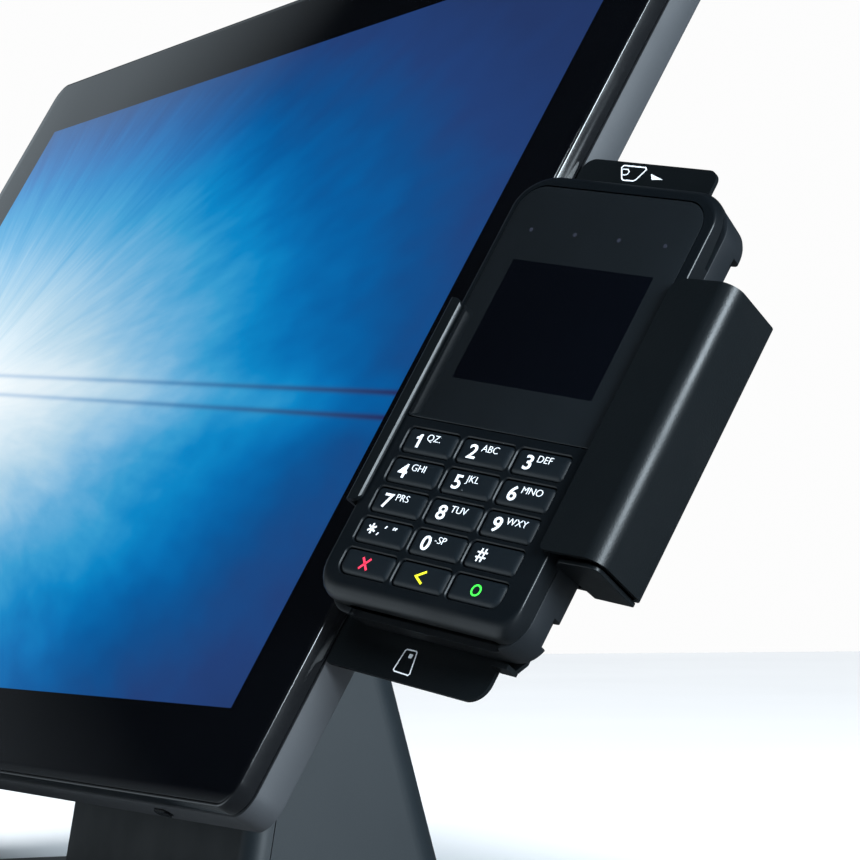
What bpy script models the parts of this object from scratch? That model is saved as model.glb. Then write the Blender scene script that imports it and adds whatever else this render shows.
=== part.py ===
"""Counter-top self checkout kiosk: a leaning touchscreen on a stand, with a card terminal at its side.

Metres, +Z up, the customer stands at -Y. The origin is the centre of the base pad's underside.
The display turns on a tilt hinge, the card terminal lifts out of its sheet metal cradle, and
every key and the power button travel. Three empties carry the pieces: tilt_hinge on the hinge
axis, display_frame at the centre of the front glass (x right, y up the glass, z out of it), and
terminal_frame at the centre of the terminal's display (x right, y up, z out of its face).
Sizes below are in millimetres and are turned into metres by MM.
"""
import math

import bmesh
import bpy
from mathutils import Matrix, Vector

MM = 0.001

# Driving dimensions
LEAN = 30.0                      # lean of the screen back from vertical, degrees
TERMINAL_YAW = 19.4              # the terminal faces outward by this angle, degrees
HINGE_Y, HINGE_Z = 24.0, 185.3   # tilt hinge axis above the base
HINGE_V, HINGE_N = -10.0, -62.0  # the same axis measured on the display: up the glass, out of it
GAP = 0.35                       # clearance between neighbouring pieces

# Display head, half sizes measured from the centre of the glass
HEAD_X, HEAD_Y = 298.6, 182.4
HEAD_R = 9.0
TRIM_BACK = -6.7                 # where the black trim meets the silver frame
FRAME_BACK = -17.2               # rear edge of the silver frame
COVER_FACE = -17.0               # flat rim of the rear cover
BULGE_BACK = -46.0               # rear face of the electronics bulge
BULGE = (-205.0, 205.0, -128.0, 120.0)
GLASS_T = 3.0
PANEL = (553.0, 323.0, 9.6)      # 24 inch panel module
BUTTON_X = 228.0
BUTTON = (9.8, 3.8, -12.1)       # the power button's length, height and its middle's depth
VENTS, VENT_PITCH, VENT_START = 9, 11.0, 78.0

# Stand
BASE_X, BASE_Y = 140.0, 120.0
BASE_R = 34.0
PAD_T = 2.0
PLATE_T = 6.0
PAD_INSET, PLATE_INSET = 6.0, 5.0
COLUMN_OPENING = (-56.0, 56.0, -22.0, 68.0)   # hole in the base cover for the spine
BASE_TOP = 14.3
COLUMN_X = 90.0
COLUMN_TOP, COLUMN_LOW = 160.0, 14.65
COLUMN_FRONT = (10.0, -14.0)      # front face at the top and at the foot
COLUMN_REAR = (36.7, 79.4)       # rear face at the top and at the foot
COLUMN_WALL = 2.5
COLUMN_CORNER = 14.0
EAR_X = (44.0, 49.0)             # the spine's two side plates
OUTLET_Z, OUTLET_R = 36.0, 12.0  # cable outlet in the column's rear cover
SHAFT_R, BORE_R = 6.0, 6.3       # hinge shaft and the holes it turns in
EAR_R = 12.0                     # round end of the hinge ears and leaves
WASHER_X = (49.35, 50.75)        # friction washers, outside the ears
LEAF_X = (51.1, 55.1)            # the display's hinge leaves
NUT_X = (55.5, 60.5)
SCREW_BORE = 2.3

# Terminal, measured from the centre of its display window
TERM_X, TERM_V = 347.9, -15.4    # place of the terminal's display centre on the display head
TERM_LEFT, TERM_RIGHT = -41.7, 41.0
TERM_TOP, ROLL_BOTTOM = 54.2, -98.8
TERM_CORNER = 13.5
FACE = -0.1                      # housing face, just under the lens and key tops
SHOULDER = (2.0, 0.6, 4.5)       # edge radius of the face at the left, right and top
ROLL = (5.0, 4.5)                # width and depth of the roll-off above the card slot
SPLIT = -7.0                     # front housing ends here
TERM_BACK = -21.3
REAR_INSET = (0.5, 1.7)          # the rear housing stands back by this at its seam and at its back
LIP_BOTTOM = -100.8              # lower end of the rear housing, the lip under the card slot
CARD_SLOT = (-29.0, 33.0)        # chip card slot, left and right end
CARD_SLOT_FRONT, CARD_SLOT_REAR = -5.4, -9.0
SWIPE_SLOT = (37.0, 29.5, 1.7, 3.9)  # swipe slot: floor, lower end, width there and at the top
LENS = (-38.9, 37.0, -36.7, 49.0)
WINDOW = (57.6, 43.2)
KEY_U = (-24.15, -1.0, 21.85)    # centres of the three key columns
KEY_V = (-44.5, -55.05, -65.6, -76.15, -87.0)
KEY_SIZE = (21.0, 8.3)
KEY_DEPTH = 3.4
KEY_TOP = 0.1
KEY_NAMES = (
    ("key_1", "key_2", "key_3"),
    ("key_4", "key_5", "key_6"),
    ("key_7", "key_8", "key_9"),
    ("key_star", "key_0", "key_hash"),
    ("key_cancel", "key_clear", "key_enter"),
)

# Cradle sheet metal
SHEET = 1.5
PLATE_FACE = -22.0               # front face of the cradle plate, behind the terminal
PLATE_LEFT = -43.6
WRAP = (-71.0, 21.5)             # lower and upper edge of the wrap-round cover
CLIP = (-68.4, 4.4)              # lower and upper end of the left clip
STOP_LIP = (23.0, 29.4, -100.4, 3.9)  # left and right end, upper face, reach out of the plate
ARM_T = 1.5
ARM_RANGE = (-66.0, 44.0)        # lower and upper edge of the arm, on the terminal's scale
ARM_SCREWS = ((252.0, -62.0), (252.0, 14.0))
BRACKET_SCREWS = ((-50.0, -52.0), (50.0, -52.0), (-50.0, 38.0), (50.0, 38.0))


def clear_scene():
    for obj in list(bpy.data.objects):
        bpy.data.objects.remove(obj, do_unlink=True)


def material(name, color, roughness, metallic=0.0):
    mat = bpy.data.materials.new(name)
    mat.use_nodes = True
    shader = mat.node_tree.nodes["Principled BSDF"]
    shader.inputs["Base Color"].default_value = (*color, 1.0)
    shader.inputs["Roughness"].default_value = roughness
    shader.inputs["Metallic"].default_value = metallic
    mat.diffuse_color = (*color, 1.0)
    return mat


FINISHES = {
    "glass": ((0.012, 0.013, 0.015), 0.06, 0.0),
    "gloss": ((0.015, 0.016, 0.018), 0.12, 0.0),
    "silver": ((0.36, 0.38, 0.42), 0.38, 0.9),
    "stand": ((0.055, 0.065, 0.075), 0.45, 0.0),
    "powder": ((0.018, 0.02, 0.024), 0.5, 0.3),
    "housing": ((0.014, 0.016, 0.019), 0.35, 0.0),
    "lens": ((0.02, 0.026, 0.034), 0.12, 0.0),
    "key": ((0.025, 0.028, 0.032), 0.5, 0.0),
    "rubber": ((0.02, 0.02, 0.02), 0.8, 0.0),
    "steel": ((0.45, 0.45, 0.46), 0.35, 1.0),
    "board": ((0.02, 0.16, 0.08), 0.5, 0.0),
    "panel": ((0.03, 0.09, 0.25), 0.25, 0.0),
    "module": ((0.25, 0.25, 0.26), 0.5, 0.3),
}


def empty(name, location, rotation, parent=None):
    obj = bpy.data.objects.new(name, None)
    bpy.context.collection.objects.link(obj)
    obj.parent = parent
    obj.location = Vector(location) * MM
    obj.rotation_euler = [math.radians(a) for a in rotation]
    return obj


def node(name, bm, finish, parent=None, origin=(0.0, 0.0, 0.0)):
    """Make an object from a mesh in millimetres; its origin is moved to the given point."""
    bmesh.ops.translate(bm, verts=bm.verts, vec=-Vector(origin))
    bmesh.ops.scale(bm, verts=bm.verts, vec=(MM, MM, MM))
    bmesh.ops.recalc_face_normals(bm, faces=bm.faces)
    mesh = bpy.data.meshes.new(name)
    bm.to_mesh(mesh)
    bm.free()
    mesh.shade_smooth()
    mesh.set_sharp_from_angle(angle=math.radians(35))
    obj = bpy.data.objects.new(name, mesh)
    bpy.context.collection.objects.link(obj)
    obj.parent = parent
    obj.location = Vector(origin) * MM
    if finish:
        obj.data.materials.append(material(name + "_finish", *FINISHES[finish]))
    return obj


def boolean(obj, bm, operation="DIFFERENCE"):
    """Cut or join obj with a guide mesh given in millimetres in the same frame as obj."""
    count = sum(1 for m in obj.modifiers)
    tool = node(f"{obj.name}_guide_{count}", bm, None, obj.parent)
    tool.hide_render = True
    tool.display_type = "WIRE"
    mod = obj.modifiers.new(f"shape_{count}", "BOOLEAN")
    mod.operation = operation
    mod.solver = "EXACT"
    mod.object = tool
    return obj


# Outlines and solids -------------------------------------------------------------------------

def arc(cx, cy, radius, start, stop, steps):
    """Points on an arc, both ends included; angles in degrees."""
    points = []
    for i in range(steps + 1):
        angle = math.radians(start + (stop - start) * i / steps)
        points.append((cx + radius * math.cos(angle), cy + radius * math.sin(angle)))
    return points


def rounded(x0, x1, y0, y1, radii, steps=4):
    """Rounded rectangle, anticlockwise; radii for the corners x1y0, x1y1, x0y1, x0y0."""
    if isinstance(radii, (int, float)):
        radii = (radii,) * 4
    r0, r1, r2, r3 = radii
    return (arc(x1 - r0, y0 + r0, r0, -90, 0, steps) + arc(x1 - r1, y1 - r1, r1, 0, 90, steps)
            + arc(x0 + r2, y1 - r2, r2, 90, 180, steps) + arc(x0 + r3, y0 + r3, r3, 180, 270, steps))


def loft(sections, cyclic=False):
    """Skin a list of closed sections that have the same number of points."""
    bm = bmesh.new()
    loops = [[bm.verts.new(p) for p in section] for section in sections]
    pairs = list(zip(loops, loops[1:]))
    if cyclic:
        pairs.append((loops[-1], loops[0]))
    for low, high in pairs:
        for i in range(len(low)):
            j = (i + 1) % len(low)
            bm.faces.new((low[i], low[j], high[j], high[i]))
    if not cyclic:
        bm.faces.new(list(reversed(loops[0])))
        bm.faces.new(loops[-1])
    bmesh.ops.recalc_face_normals(bm, faces=bm.faces)
    return bm


def at_z(outline, z):
    return [(x, y, z) for x, y in outline]


def prism(outline, z0, z1):
    return loft([at_z(outline, z0), at_z(outline, z1)])


def side_prism(outline, x0, x1):
    """Extrude a (y, z) outline along x."""
    return loft([[(x, y, z) for y, z in outline] for x in (x0, x1)])


def cross_prism(outline, y0, y1):
    """Extrude an (x, z) outline along y."""
    return loft([[(x, y, z) for x, z in outline] for y in (y0, y1)])


def block(x0, x1, y0, y1, z0, z1):
    return prism([(x0, y0), (x1, y0), (x1, y1), (x0, y1)], z0, z1)


def merged(meshes):
    """Several separate solids as one guide mesh."""
    out = bmesh.new()
    for bm in meshes:
        mesh = bpy.data.meshes.new("guide_part")
        bm.to_mesh(mesh)
        bm.free()
        out.from_mesh(mesh)
        bpy.data.meshes.remove(mesh)
    return out


def tube(radius_in, radius_out, x0, x1, y, z, steps=24, hexagon=False):
    """A ring about an axis along x, round or with a hexagonal outside."""
    def circle(radius, x, hexed):
        points = []
        for i in range(steps):
            a = 2 * math.pi * i / steps
            r = radius
            if hexed:
                r = radius * math.cos(math.pi / 6) / math.cos((a % (math.pi / 3)) - math.pi / 6)
            points.append((x, y + r * math.cos(a), z + r * math.sin(a)))
        return points
    return loft([circle(radius_in, x0, False), circle(radius_in, x1, False),
                 circle(radius_out, x1, hexagon), circle(radius_out, x0, hexagon)], cyclic=True)


def rod(radius, p, q, steps=16):
    """A solid cylinder between two points."""
    p, q = Vector(p), Vector(q)
    bm = bmesh.new()
    bmesh.ops.create_cone(bm, cap_ends=True, segments=steps, radius1=radius, radius2=radius,
                          depth=(q - p).length)
    turn = (q - p).to_track_quat("Z", "Y").to_matrix().to_4x4()
    bmesh.ops.transform(bm, matrix=Matrix.Translation((p + q) / 2) @ turn, verts=bm.verts)
    return bm


def bent_path(points, radii, steps=4):
    """Round the inner corners of an open path."""
    out = [Vector(points[0])]
    for i in range(1, len(points) - 1):
        before, here, after = (Vector(points[k]) for k in (i - 1, i, i + 1))
        a, b = (before - here).normalized(), (after - here).normalized()
        half = a.angle(b) / 2
        cut = radii[i - 1] / math.tan(half)
        centre = here + (a + b).normalized() * radii[i - 1] / math.sin(half)
        start, stop = here + a * cut - centre, here + b * cut - centre
        sweep = start.angle_signed(stop)
        for k in range(steps + 1):
            turn = Matrix.Rotation(-sweep * k / steps, 2)
            out.append(centre + turn @ start)
    out.append(Vector(points[-1]))
    return out


def strip(points, thickness):
    """Closed outline of a sheet that follows an open path, thickness to each side by half."""
    left, right = [], []
    for i, here in enumerate(points):
        a = (here - points[i - 1]).normalized() if i else None
        b = (points[i + 1] - here).normalized() if i + 1 < len(points) else None
        along = ((a or b) + (b or a)).normalized()
        across = Vector((-along.y, along.x)) * thickness / 2
        if a and b:
            across /= max(0.5, along.dot(a))
        left.append(here + across)
        right.append(here - across)
    return [(p.x, p.y) for p in left] + [(p.x, p.y) for p in reversed(right)]


# Stand ---------------------------------------------------------------------------------------

def base():
    def ring(inset, z):
        edge = rounded(-BASE_X + inset, BASE_X - inset, -BASE_Y + inset, BASE_Y - inset,
                       BASE_R - inset, 6)
        return at_z(edge, z)
    node("base_pad", loft([ring(PAD_INSET, 0), ring(PAD_INSET, PAD_T)]), "rubber")
    low = PAD_T + GAP
    node("base_plate", loft([ring(PLATE_INSET, low), ring(PLATE_INSET, low + PLATE_T)]), "steel")
    shell = loft([ring(8, BASE_TOP - 2.2), ring(4.2, BASE_TOP - 4.4), ring(2.4, BASE_TOP - 7),
                  ring(2.4, low), ring(0, low), ring(0, BASE_TOP - 6), ring(1.5, BASE_TOP - 2.6),
                  ring(5, BASE_TOP - 0.6), ring(9, BASE_TOP)])
    cover = node("base_cover", shell, "stand")
    boolean(cover, block(*COLUMN_OPENING, BASE_TOP - 5, BASE_TOP + 5))


def column_y(z, line):
    """Front or rear face of the column at height z."""
    t = (COLUMN_TOP - z) / (COLUMN_TOP - COLUMN_LOW)
    return line[0] + (line[1] - line[0]) * t


def column_section(z, rear):
    """U-shaped wall section of the rear or front cover at height z."""
    front_y, rear_y = column_y(z, COLUMN_FRONT), column_y(z, COLUMN_REAR)
    seam = front_y + 10.0
    w, t = COLUMN_X, COLUMN_WALL
    if rear:
        r = min(COLUMN_CORNER, rear_y - seam - 4)
        y0, y1 = seam + GAP, rear_y
        outer = ([(w, y0)] + arc(w - r, y1 - r, r, 0, 90, 6) + arc(-w + r, y1 - r, r, 90, 180, 6)
                 + [(-w, y0)])
        inner = ([(-w + t, y0)] + arc(-w + r, y1 - r, r - t, 180, 90, 6)
                 + arc(w - r, y1 - r, r - t, 90, 0, 6) + [(w - t, y0)])
    else:
        r = 8.0
        y0, y1 = seam, front_y
        outer = ([(-w, y0)] + arc(-w + r, y1 + r, r, 180, 270, 5)
                 + arc(w - r, y1 + r, r, 270, 360, 5) + [(w, y0)])
        inner = ([(w - t, y0)] + arc(w - r, y1 + r, r - t, 360, 270, 5)
                 + arc(-w + r, y1 + r, r - t, 270, 180, 5) + [(-w + t, y0)])
    return at_z(outer + inner, z)


def column():
    levels = (COLUMN_LOW, COLUMN_TOP)
    rear = node("column_rear_cover", loft([column_section(z, True) for z in levels]), "stand")
    outlet_y = column_y(OUTLET_Z, COLUMN_REAR)
    slope = (COLUMN_REAR[1] - COLUMN_REAR[0]) / (COLUMN_TOP - COLUMN_LOW)
    outward = Vector((0, 1, slope)).normalized()
    centre = Vector((0, outlet_y, OUTLET_Z))
    boolean(rear, rod(OUTLET_R, centre - outward * 8, centre + outward * 8, 24))
    face_out = Vector((1, 0, 0)).rotation_difference(outward).to_matrix().to_4x4()
    turn = Matrix.Translation(centre) @ face_out
    profile = ((9.0, -3.2), (9.0, 2.6), (14.5, 2.0), (15.0, GAP), (11.6, GAP), (11.6, -3.2))
    steps = 24
    rings = []
    for radius, x in profile:
        angles = [2 * math.pi * i / steps for i in range(steps)]
        rings.append([turn @ Vector((x, radius * math.cos(a), radius * math.sin(a))) for a in angles])
    node("cable_grommet", loft(rings, cyclic=True), "rubber")
    node("column_front_cover", loft([column_section(z, False) for z in levels]), "stand")

    top_front, top_rear = COLUMN_FRONT[0], COLUMN_REAR[0]
    cap = rounded(-COLUMN_X, COLUMN_X, top_front, top_rear, 9, 4)
    lid = node("column_cap", prism(cap, COLUMN_TOP + GAP, COLUMN_TOP + GAP + 2.4), "stand")
    boolean(lid, block(-50.5, 50.5, 15.2, 33.4, COLUMN_TOP - 5, COLUMN_TOP + 8))


def spine():
    """Folded steel bracket inside the column whose side plates end in the hinge ears."""
    foot = PAD_T + GAP + PLATE_T + GAP - HINGE_Z
    ear = ([(8, -20), (8, -30), (30, foot), (-18, foot), (-7, -30), (-7, -20)]
           + list(reversed(arc(0, 0, EAR_R, -10, 190, 10))))
    side = [(HINGE_Y + y, HINGE_Z + z) for y, z in ear]
    body = node("column_spine", side_prism(side, *EAR_X), "steel")
    boolean(body, side_prism(side, -EAR_X[1], -EAR_X[0]), "UNION")
    web = [(HINGE_Y + y, HINGE_Z + z) for y, z in
           ((4, -34), (7, -34), (27, foot + 0.5), (24, foot + 0.5))]
    boolean(body, side_prism(web, -45.5, 45.5), "UNION")
    base_flange = block(-50.5, 50.5, HINGE_Y - 30, HINGE_Y + 36, HINGE_Z + foot, HINGE_Z + foot + 3)
    boolean(body, base_flange, "UNION")
    boolean(body, rod(BORE_R, (-60, HINGE_Y, HINGE_Z), (60, HINGE_Y, HINGE_Z), 24))


def hinge():
    axis = (0, HINGE_Y, HINGE_Z)
    end = NUT_X[1] + 0.5
    shaft = rod(SHAFT_R, (-end, HINGE_Y, HINGE_Z), (end, HINGE_Y, HINGE_Z), 24)
    node("hinge_shaft", shaft, "steel", origin=axis)
    half = EAR_X[0] - 0.5
    node("hinge_barrel", tube(6.5, 10.5, -half, half, HINGE_Y, HINGE_Z), "steel", origin=axis)
    for name, sign in (("left", -1), ("right", 1)):
        a, b = sorted(sign * x for x in WASHER_X)
        node(f"hinge_washer_{name}", tube(BORE_R, 11.0, a, b, HINGE_Y, HINGE_Z), "module")
        a, b = sorted(sign * x for x in NUT_X)
        node(f"hinge_nut_{name}", tube(BORE_R, 11.0, a, b, HINGE_Y, HINGE_Z, hexagon=True), "steel")


# Display head --------------------------------------------------------------------------------

def head_ring(inset, z, steps=5):
    radius = max(HEAD_R - inset, 1.0)
    edge = rounded(-HEAD_X + inset, HEAD_X - inset, -HEAD_Y + inset, HEAD_Y - inset, radius, steps)
    return at_z(edge, z)


def button_outline(grow):
    """The power button seen from below, larger all round by grow."""
    w, h = BUTTON[0] / 2 + grow, BUTTON[1] / 2 + grow
    return rounded(BUTTON_X - w, BUTTON_X + w, BUTTON[2] - h, BUTTON[2] + h, 1.8 + grow, 4)


def display_front(frame):
    glass = loft([head_ring(1.35, -GLASS_T), head_ring(1.25, -0.35), head_ring(1.6, 0.0)])
    node("front_glass", glass, "glass", frame)
    trim = loft([head_ring(0.9, -0.25), head_ring(0.45, -0.8), head_ring(0.05, -2.4),
                 head_ring(0.0, -3.6), head_ring(0.1, -5.0), head_ring(0.6, TRIM_BACK),
                 head_ring(9.0, TRIM_BACK), head_ring(9.0, -GLASS_T - GAP),
                 head_ring(1.02, -GLASS_T - GAP)], cyclic=True)
    node("front_bezel", trim, "gloss", frame)
    front = TRIM_BACK - 0.3
    band = loft([head_ring(0.35, front), head_ring(0.0, front - 0.5), head_ring(0.0, FRAME_BACK + 0.5),
                 head_ring(0.4, FRAME_BACK), head_ring(1.9, FRAME_BACK), head_ring(1.9, front)],
                cyclic=True)
    side = node("side_frame", band, "silver", frame)
    boolean(side, cross_prism(button_outline(0.45), -HEAD_Y - 3, -HEAD_Y + 4))
    half_x, half_y = PANEL[0] / 2, PANEL[1] / 2
    top = -GLASS_T - GAP - 0.4
    panel = rounded(-half_x, half_x, -half_y, half_y, 2, 2)
    node("lcd_panel", prism(panel, top - PANEL[2], top), "panel", frame)


def screw_hole(x, y, z0, z1):
    return rod(SCREW_BORE, (x, y, z0), (x, y, z1), 12)


def rear_cover(frame):
    x0, x1, y0, y1 = BULGE

    def bulge(grow, z, radius):
        return at_z(rounded(x0 - grow, x1 + grow, y0 - grow, y1 + grow, radius, 5), z)
    inner_face = COVER_FACE + 2.2
    shell = loft([bulge(-16, BULGE_BACK + 2.4, 12), bulge(-7.5, BULGE_BACK + 6.5, 16),
                  bulge(-2.5, inner_face, 20), head_ring(2.25, inner_face),
                  head_ring(2.25, COVER_FACE), bulge(3, COVER_FACE, 24), bulge(0, COVER_FACE - 2, 22),
                  bulge(-5, BULGE_BACK + 5, 18), bulge(-9, BULGE_BACK + 1.2, 15),
                  bulge(-14, BULGE_BACK, 12)])
    cover = node("rear_cover", shell, "stand", frame)
    slots = []
    for side in (-1, 1):
        for i in range(VENTS):
            x = side * (VENT_START + VENT_PITCH * i)
            slots.append(block(x - 1.4, x + 1.4, 62, 92, BULGE_BACK - 4, BULGE_BACK + 8))
    boolean(cover, merged(slots))
    holes = [screw_hole(x, y, BULGE_BACK - 5, BULGE_BACK + 6) for x, y in BRACKET_SCREWS]
    holes += [screw_hole(x, y, COVER_FACE - 4, COVER_FACE + 5) for x, y in ARM_SCREWS]
    boolean(cover, merged(holes))
    top = BULGE_BACK - GAP
    lid = rounded(-118, 118, -100, -68, 6, 4)
    raised = rounded(-115, 115, -97, -71, 5, 4)
    node("cable_cover", loft([at_z(lid, top), at_z(lid, top - 2.0), at_z(raised, top - 4.0)]), "stand", frame)


def display_inside(frame):
    board_z = -19.0
    node("mainboard", prism(rounded(-105, 105, -75, 60, 3, 2), board_z - 1.6, board_z), "board", frame)
    fins = [(-40, board_z - 1.6 - GAP), (40, board_z - 1.6 - GAP)]
    deep = board_z - 18
    for i in range(8, -1, -1):
        x = -40 + i * 9.6
        fins += [(x + 3.2, deep + 12), (x + 3.2, deep), (x, deep), (x, deep + 12)]
    node("heat_sink", cross_prism(fins, -30, 40), "steel", frame)
    for name, sign in (("left", -1), ("right", 1)):
        x0, x1 = sorted((sign * 112, sign * 172))
        shape = loft([at_z(rounded(x0, x1, -106, -82, 6, 4), -18.5),
                      at_z(rounded(x0, x1, -106, -82, 6, 4), -30),
                      at_z(rounded(x0 + 4, x1 - 4, -102, -86, 5, 4), -34)])
        node(f"speaker_{name}", shape, "module", frame)
    node("power_button", cross_prism(button_outline(0.0), -HEAD_Y - 0.9, -HEAD_Y + 3.2), "gloss", frame,
         origin=(BUTTON_X, -HEAD_Y, BUTTON[2]))


def hinge_bracket(frame):
    """Mounting plate on the back of the display with the two hinge leaves."""
    face = BULGE_BACK - GAP
    plate = node("hinge_bracket", prism(rounded(-60, 60, -62, 48, 6, 4), face - 3, face), "steel", frame,
                 origin=(0, HINGE_V, HINGE_N))
    leaf = [(HINGE_V + 24, face - 1.5), (HINGE_V - 24, face - 1.5)]
    leaf += arc(HINGE_V, HINGE_N, EAR_R, -160, -20, 10)
    for sign in (-1, 1):
        x0, x1 = sorted(sign * x for x in LEAF_X)
        boolean(plate, side_prism(leaf, x0, x1), "UNION")
    boolean(plate, rod(BORE_R, (-70, HINGE_V, HINGE_N), (70, HINGE_V, HINGE_N), 24))
    boolean(plate, merged([screw_hole(x, y, face - 8, face + 3) for x, y in BRACKET_SCREWS]))
    for i, (x, y) in enumerate(BRACKET_SCREWS, 1):
        screw(f"bracket_screw_{i}", x, y, face - 3 - GAP, face + 3.5, frame)


def screw(name, x, y, seat, tip, parent):
    """Pan head screw: seat is the underside of its head, tip the far end of its thread."""
    profile = ((1.9, tip), (1.9, seat), (3.8, seat), (3.8, seat - 1.4), (2.6, seat - 2.4))
    sections = []
    for radius, z in profile:
        angles = [2 * math.pi * i / 12 for i in range(12)]
        sections.append([(x + radius * math.cos(a), y + radius * math.sin(a), z) for a in angles])
    node(name, loft(sections), "steel", parent, origin=(x, y, seat))


# Cradle --------------------------------------------------------------------------------------

def cradle_plate(frame):
    back = PLATE_FACE - SHEET
    outline = (arc(8.4, 69.1, 4.0, 0, 90, 4) + arc(-38.6, 68.1, 5.0, 90, 180, 4)
               + [(PLATE_LEFT, -112.0), (PLATE_LEFT + 0.8, -113.0)] + arc(15.5, -106.0, 7.0, -90, 0, 5)
               + [(22.5, -100.6), (STOP_LIP[1], -100.6), (31.5, -97.5), (31.5, WRAP[0]), (59.0, WRAP[0])]
               + [(59.0, WRAP[1]), (12.4, WRAP[1])])
    plate = node("cradle_plate", prism(outline, back, PLATE_FACE), "powder", frame)

    mid = PLATE_FACE - SHEET / 2
    wrap = [(56.0, mid), (60.1, mid), (61.9, 2.9), (38.5, 1.4)]
    wrap_path = bent_path(wrap, (2.2, 4.8), 5)
    boolean(plate, cross_prism(strip(wrap_path, SHEET), WRAP[0], WRAP[1]), "UNION")
    clip = [(PLATE_LEFT + 6.0, mid), (PLATE_LEFT + 0.85, mid), (-43.9, 1.55), (-38.7, 1.35)]
    clip_path = bent_path(clip, (1.5, 1.6), 4)
    boolean(plate, cross_prism(strip(clip_path, SHEET), CLIP[0], CLIP[1]), "UNION")
    upper, lower = STOP_LIP[2], STOP_LIP[2] - SHEET
    front = PLATE_FACE + STOP_LIP[3]
    lip = [(upper, back + 0.2), (upper, front), (lower, front), (lower, back + 0.2)]
    boolean(plate, side_prism(lip, *STOP_LIP[:2]), "UNION")
    boolean(plate, block(*STOP_LIP[:2], lower, -98.0, back + 0.15, PLATE_FACE - 0.2), "UNION")
    slot = prism(rounded(46.5, 55.5, -40, -12, 4.4, 4), back - 2, PLATE_FACE + 2)
    boolean(plate, slot)


def wrap_end_cap(frame):
    """Flat tab that closes the lower end of the wrap-round cover."""
    y1 = WRAP[0] - GAP
    outline = [(43.5, PLATE_FACE - SHEET + 0.3), (58.6, PLATE_FACE - SHEET + 0.3), (60.6, -2.2),
               (57.6, 0.6), (45.2, -0.5), (42.6, -3.0)]
    node("wrap_end_cap", cross_prism(outline, y1 - SHEET, y1), "powder", frame)


def cradle_arm(display, terminal):
    """Bent bracket that reaches from the rear cover round the display's side to the plate."""
    yaw = math.radians(TERMINAL_YAW)

    def from_plate(u, n):
        return (TERM_X + u * math.cos(yaw) + n * math.sin(yaw), -u * math.sin(yaw) + n * math.cos(yaw))
    leg = PLATE_FACE - SHEET - GAP - ARM_T / 2
    side = HEAD_X + 0.42 + ARM_T / 2
    rim = COVER_FACE - GAP - 0.2 - ARM_T / 2
    start = from_plate(-14.0, leg)
    yaw_line = (from_plate(-30.0, leg), from_plate(-20.0, leg))
    slope = (yaw_line[1][1] - yaw_line[0][1]) / (yaw_line[1][0] - yaw_line[0][0])
    corner = (side, yaw_line[0][1] + (side - yaw_line[0][0]) * slope)
    path = bent_path([start, corner, (side, rim), (ARM_SCREWS[0][0] - 12, rim)], (1.0, 2.0), 4)
    low, high = (TERM_V + y for y in ARM_RANGE)
    arm = node("cradle_arm", cross_prism(strip(path, ARM_T), low, high), "powder", display)
    boolean(arm, merged([screw_hole(x, y, rim - 4, rim + 4) for x, y in ARM_SCREWS]))
    for i, (x, y) in enumerate(ARM_SCREWS, 1):
        screw(f"arm_screw_{i}", x, y, rim - ARM_T / 2 - GAP, COVER_FACE + 2.6, display)


# Terminal ------------------------------------------------------------------------------------

def shoulder(depth, radius):
    """How far a rounded edge stands back at a depth under the face."""
    if depth >= radius:
        return 0.0
    return radius - math.sqrt(radius ** 2 - (radius - depth) ** 2)


def terminal_outline(left, right, top, bottom, low_radius=0.0):
    """Outline with its sides set back by left, right and top, and its lower end at bottom.

    The lower corners are cut off slantwise, or round if low_radius is given.
    """
    x0, x1 = TERM_LEFT + left, TERM_RIGHT - right
    cx0, cx1, cy = TERM_LEFT + TERM_CORNER, TERM_RIGHT - TERM_CORNER, TERM_TOP - TERM_CORNER
    quarter = [math.radians(15 * i) for i in range(7)]
    high = TERM_CORNER - top
    corners = [(cx1 + (x1 - cx1) * math.cos(a), cy + high * math.sin(a)) for a in quarter]
    corners += [(cx0 - (cx0 - x0) * math.sin(a), cy + high * math.cos(a)) for a in quarter]
    y0 = bottom
    if low_radius:
        return (arc(x1 - low_radius, y0 + low_radius, low_radius, -90, 0, 5) + corners
                + arc(x0 + low_radius, y0 + low_radius, low_radius, 180, 270, 5))
    return ([(x0 + 9, y0), (x1 - 6, y0), (x1 - 3.4, y0 + 0.8), (x1 - 0.8, y0 + 4.4), (x1, y0 + 8)]
            + corners + [(x0, y0 + 8), (x0 + 1.2, y0 + 4.2), (x0 + 5.6, y0 + 0.7)])


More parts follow.
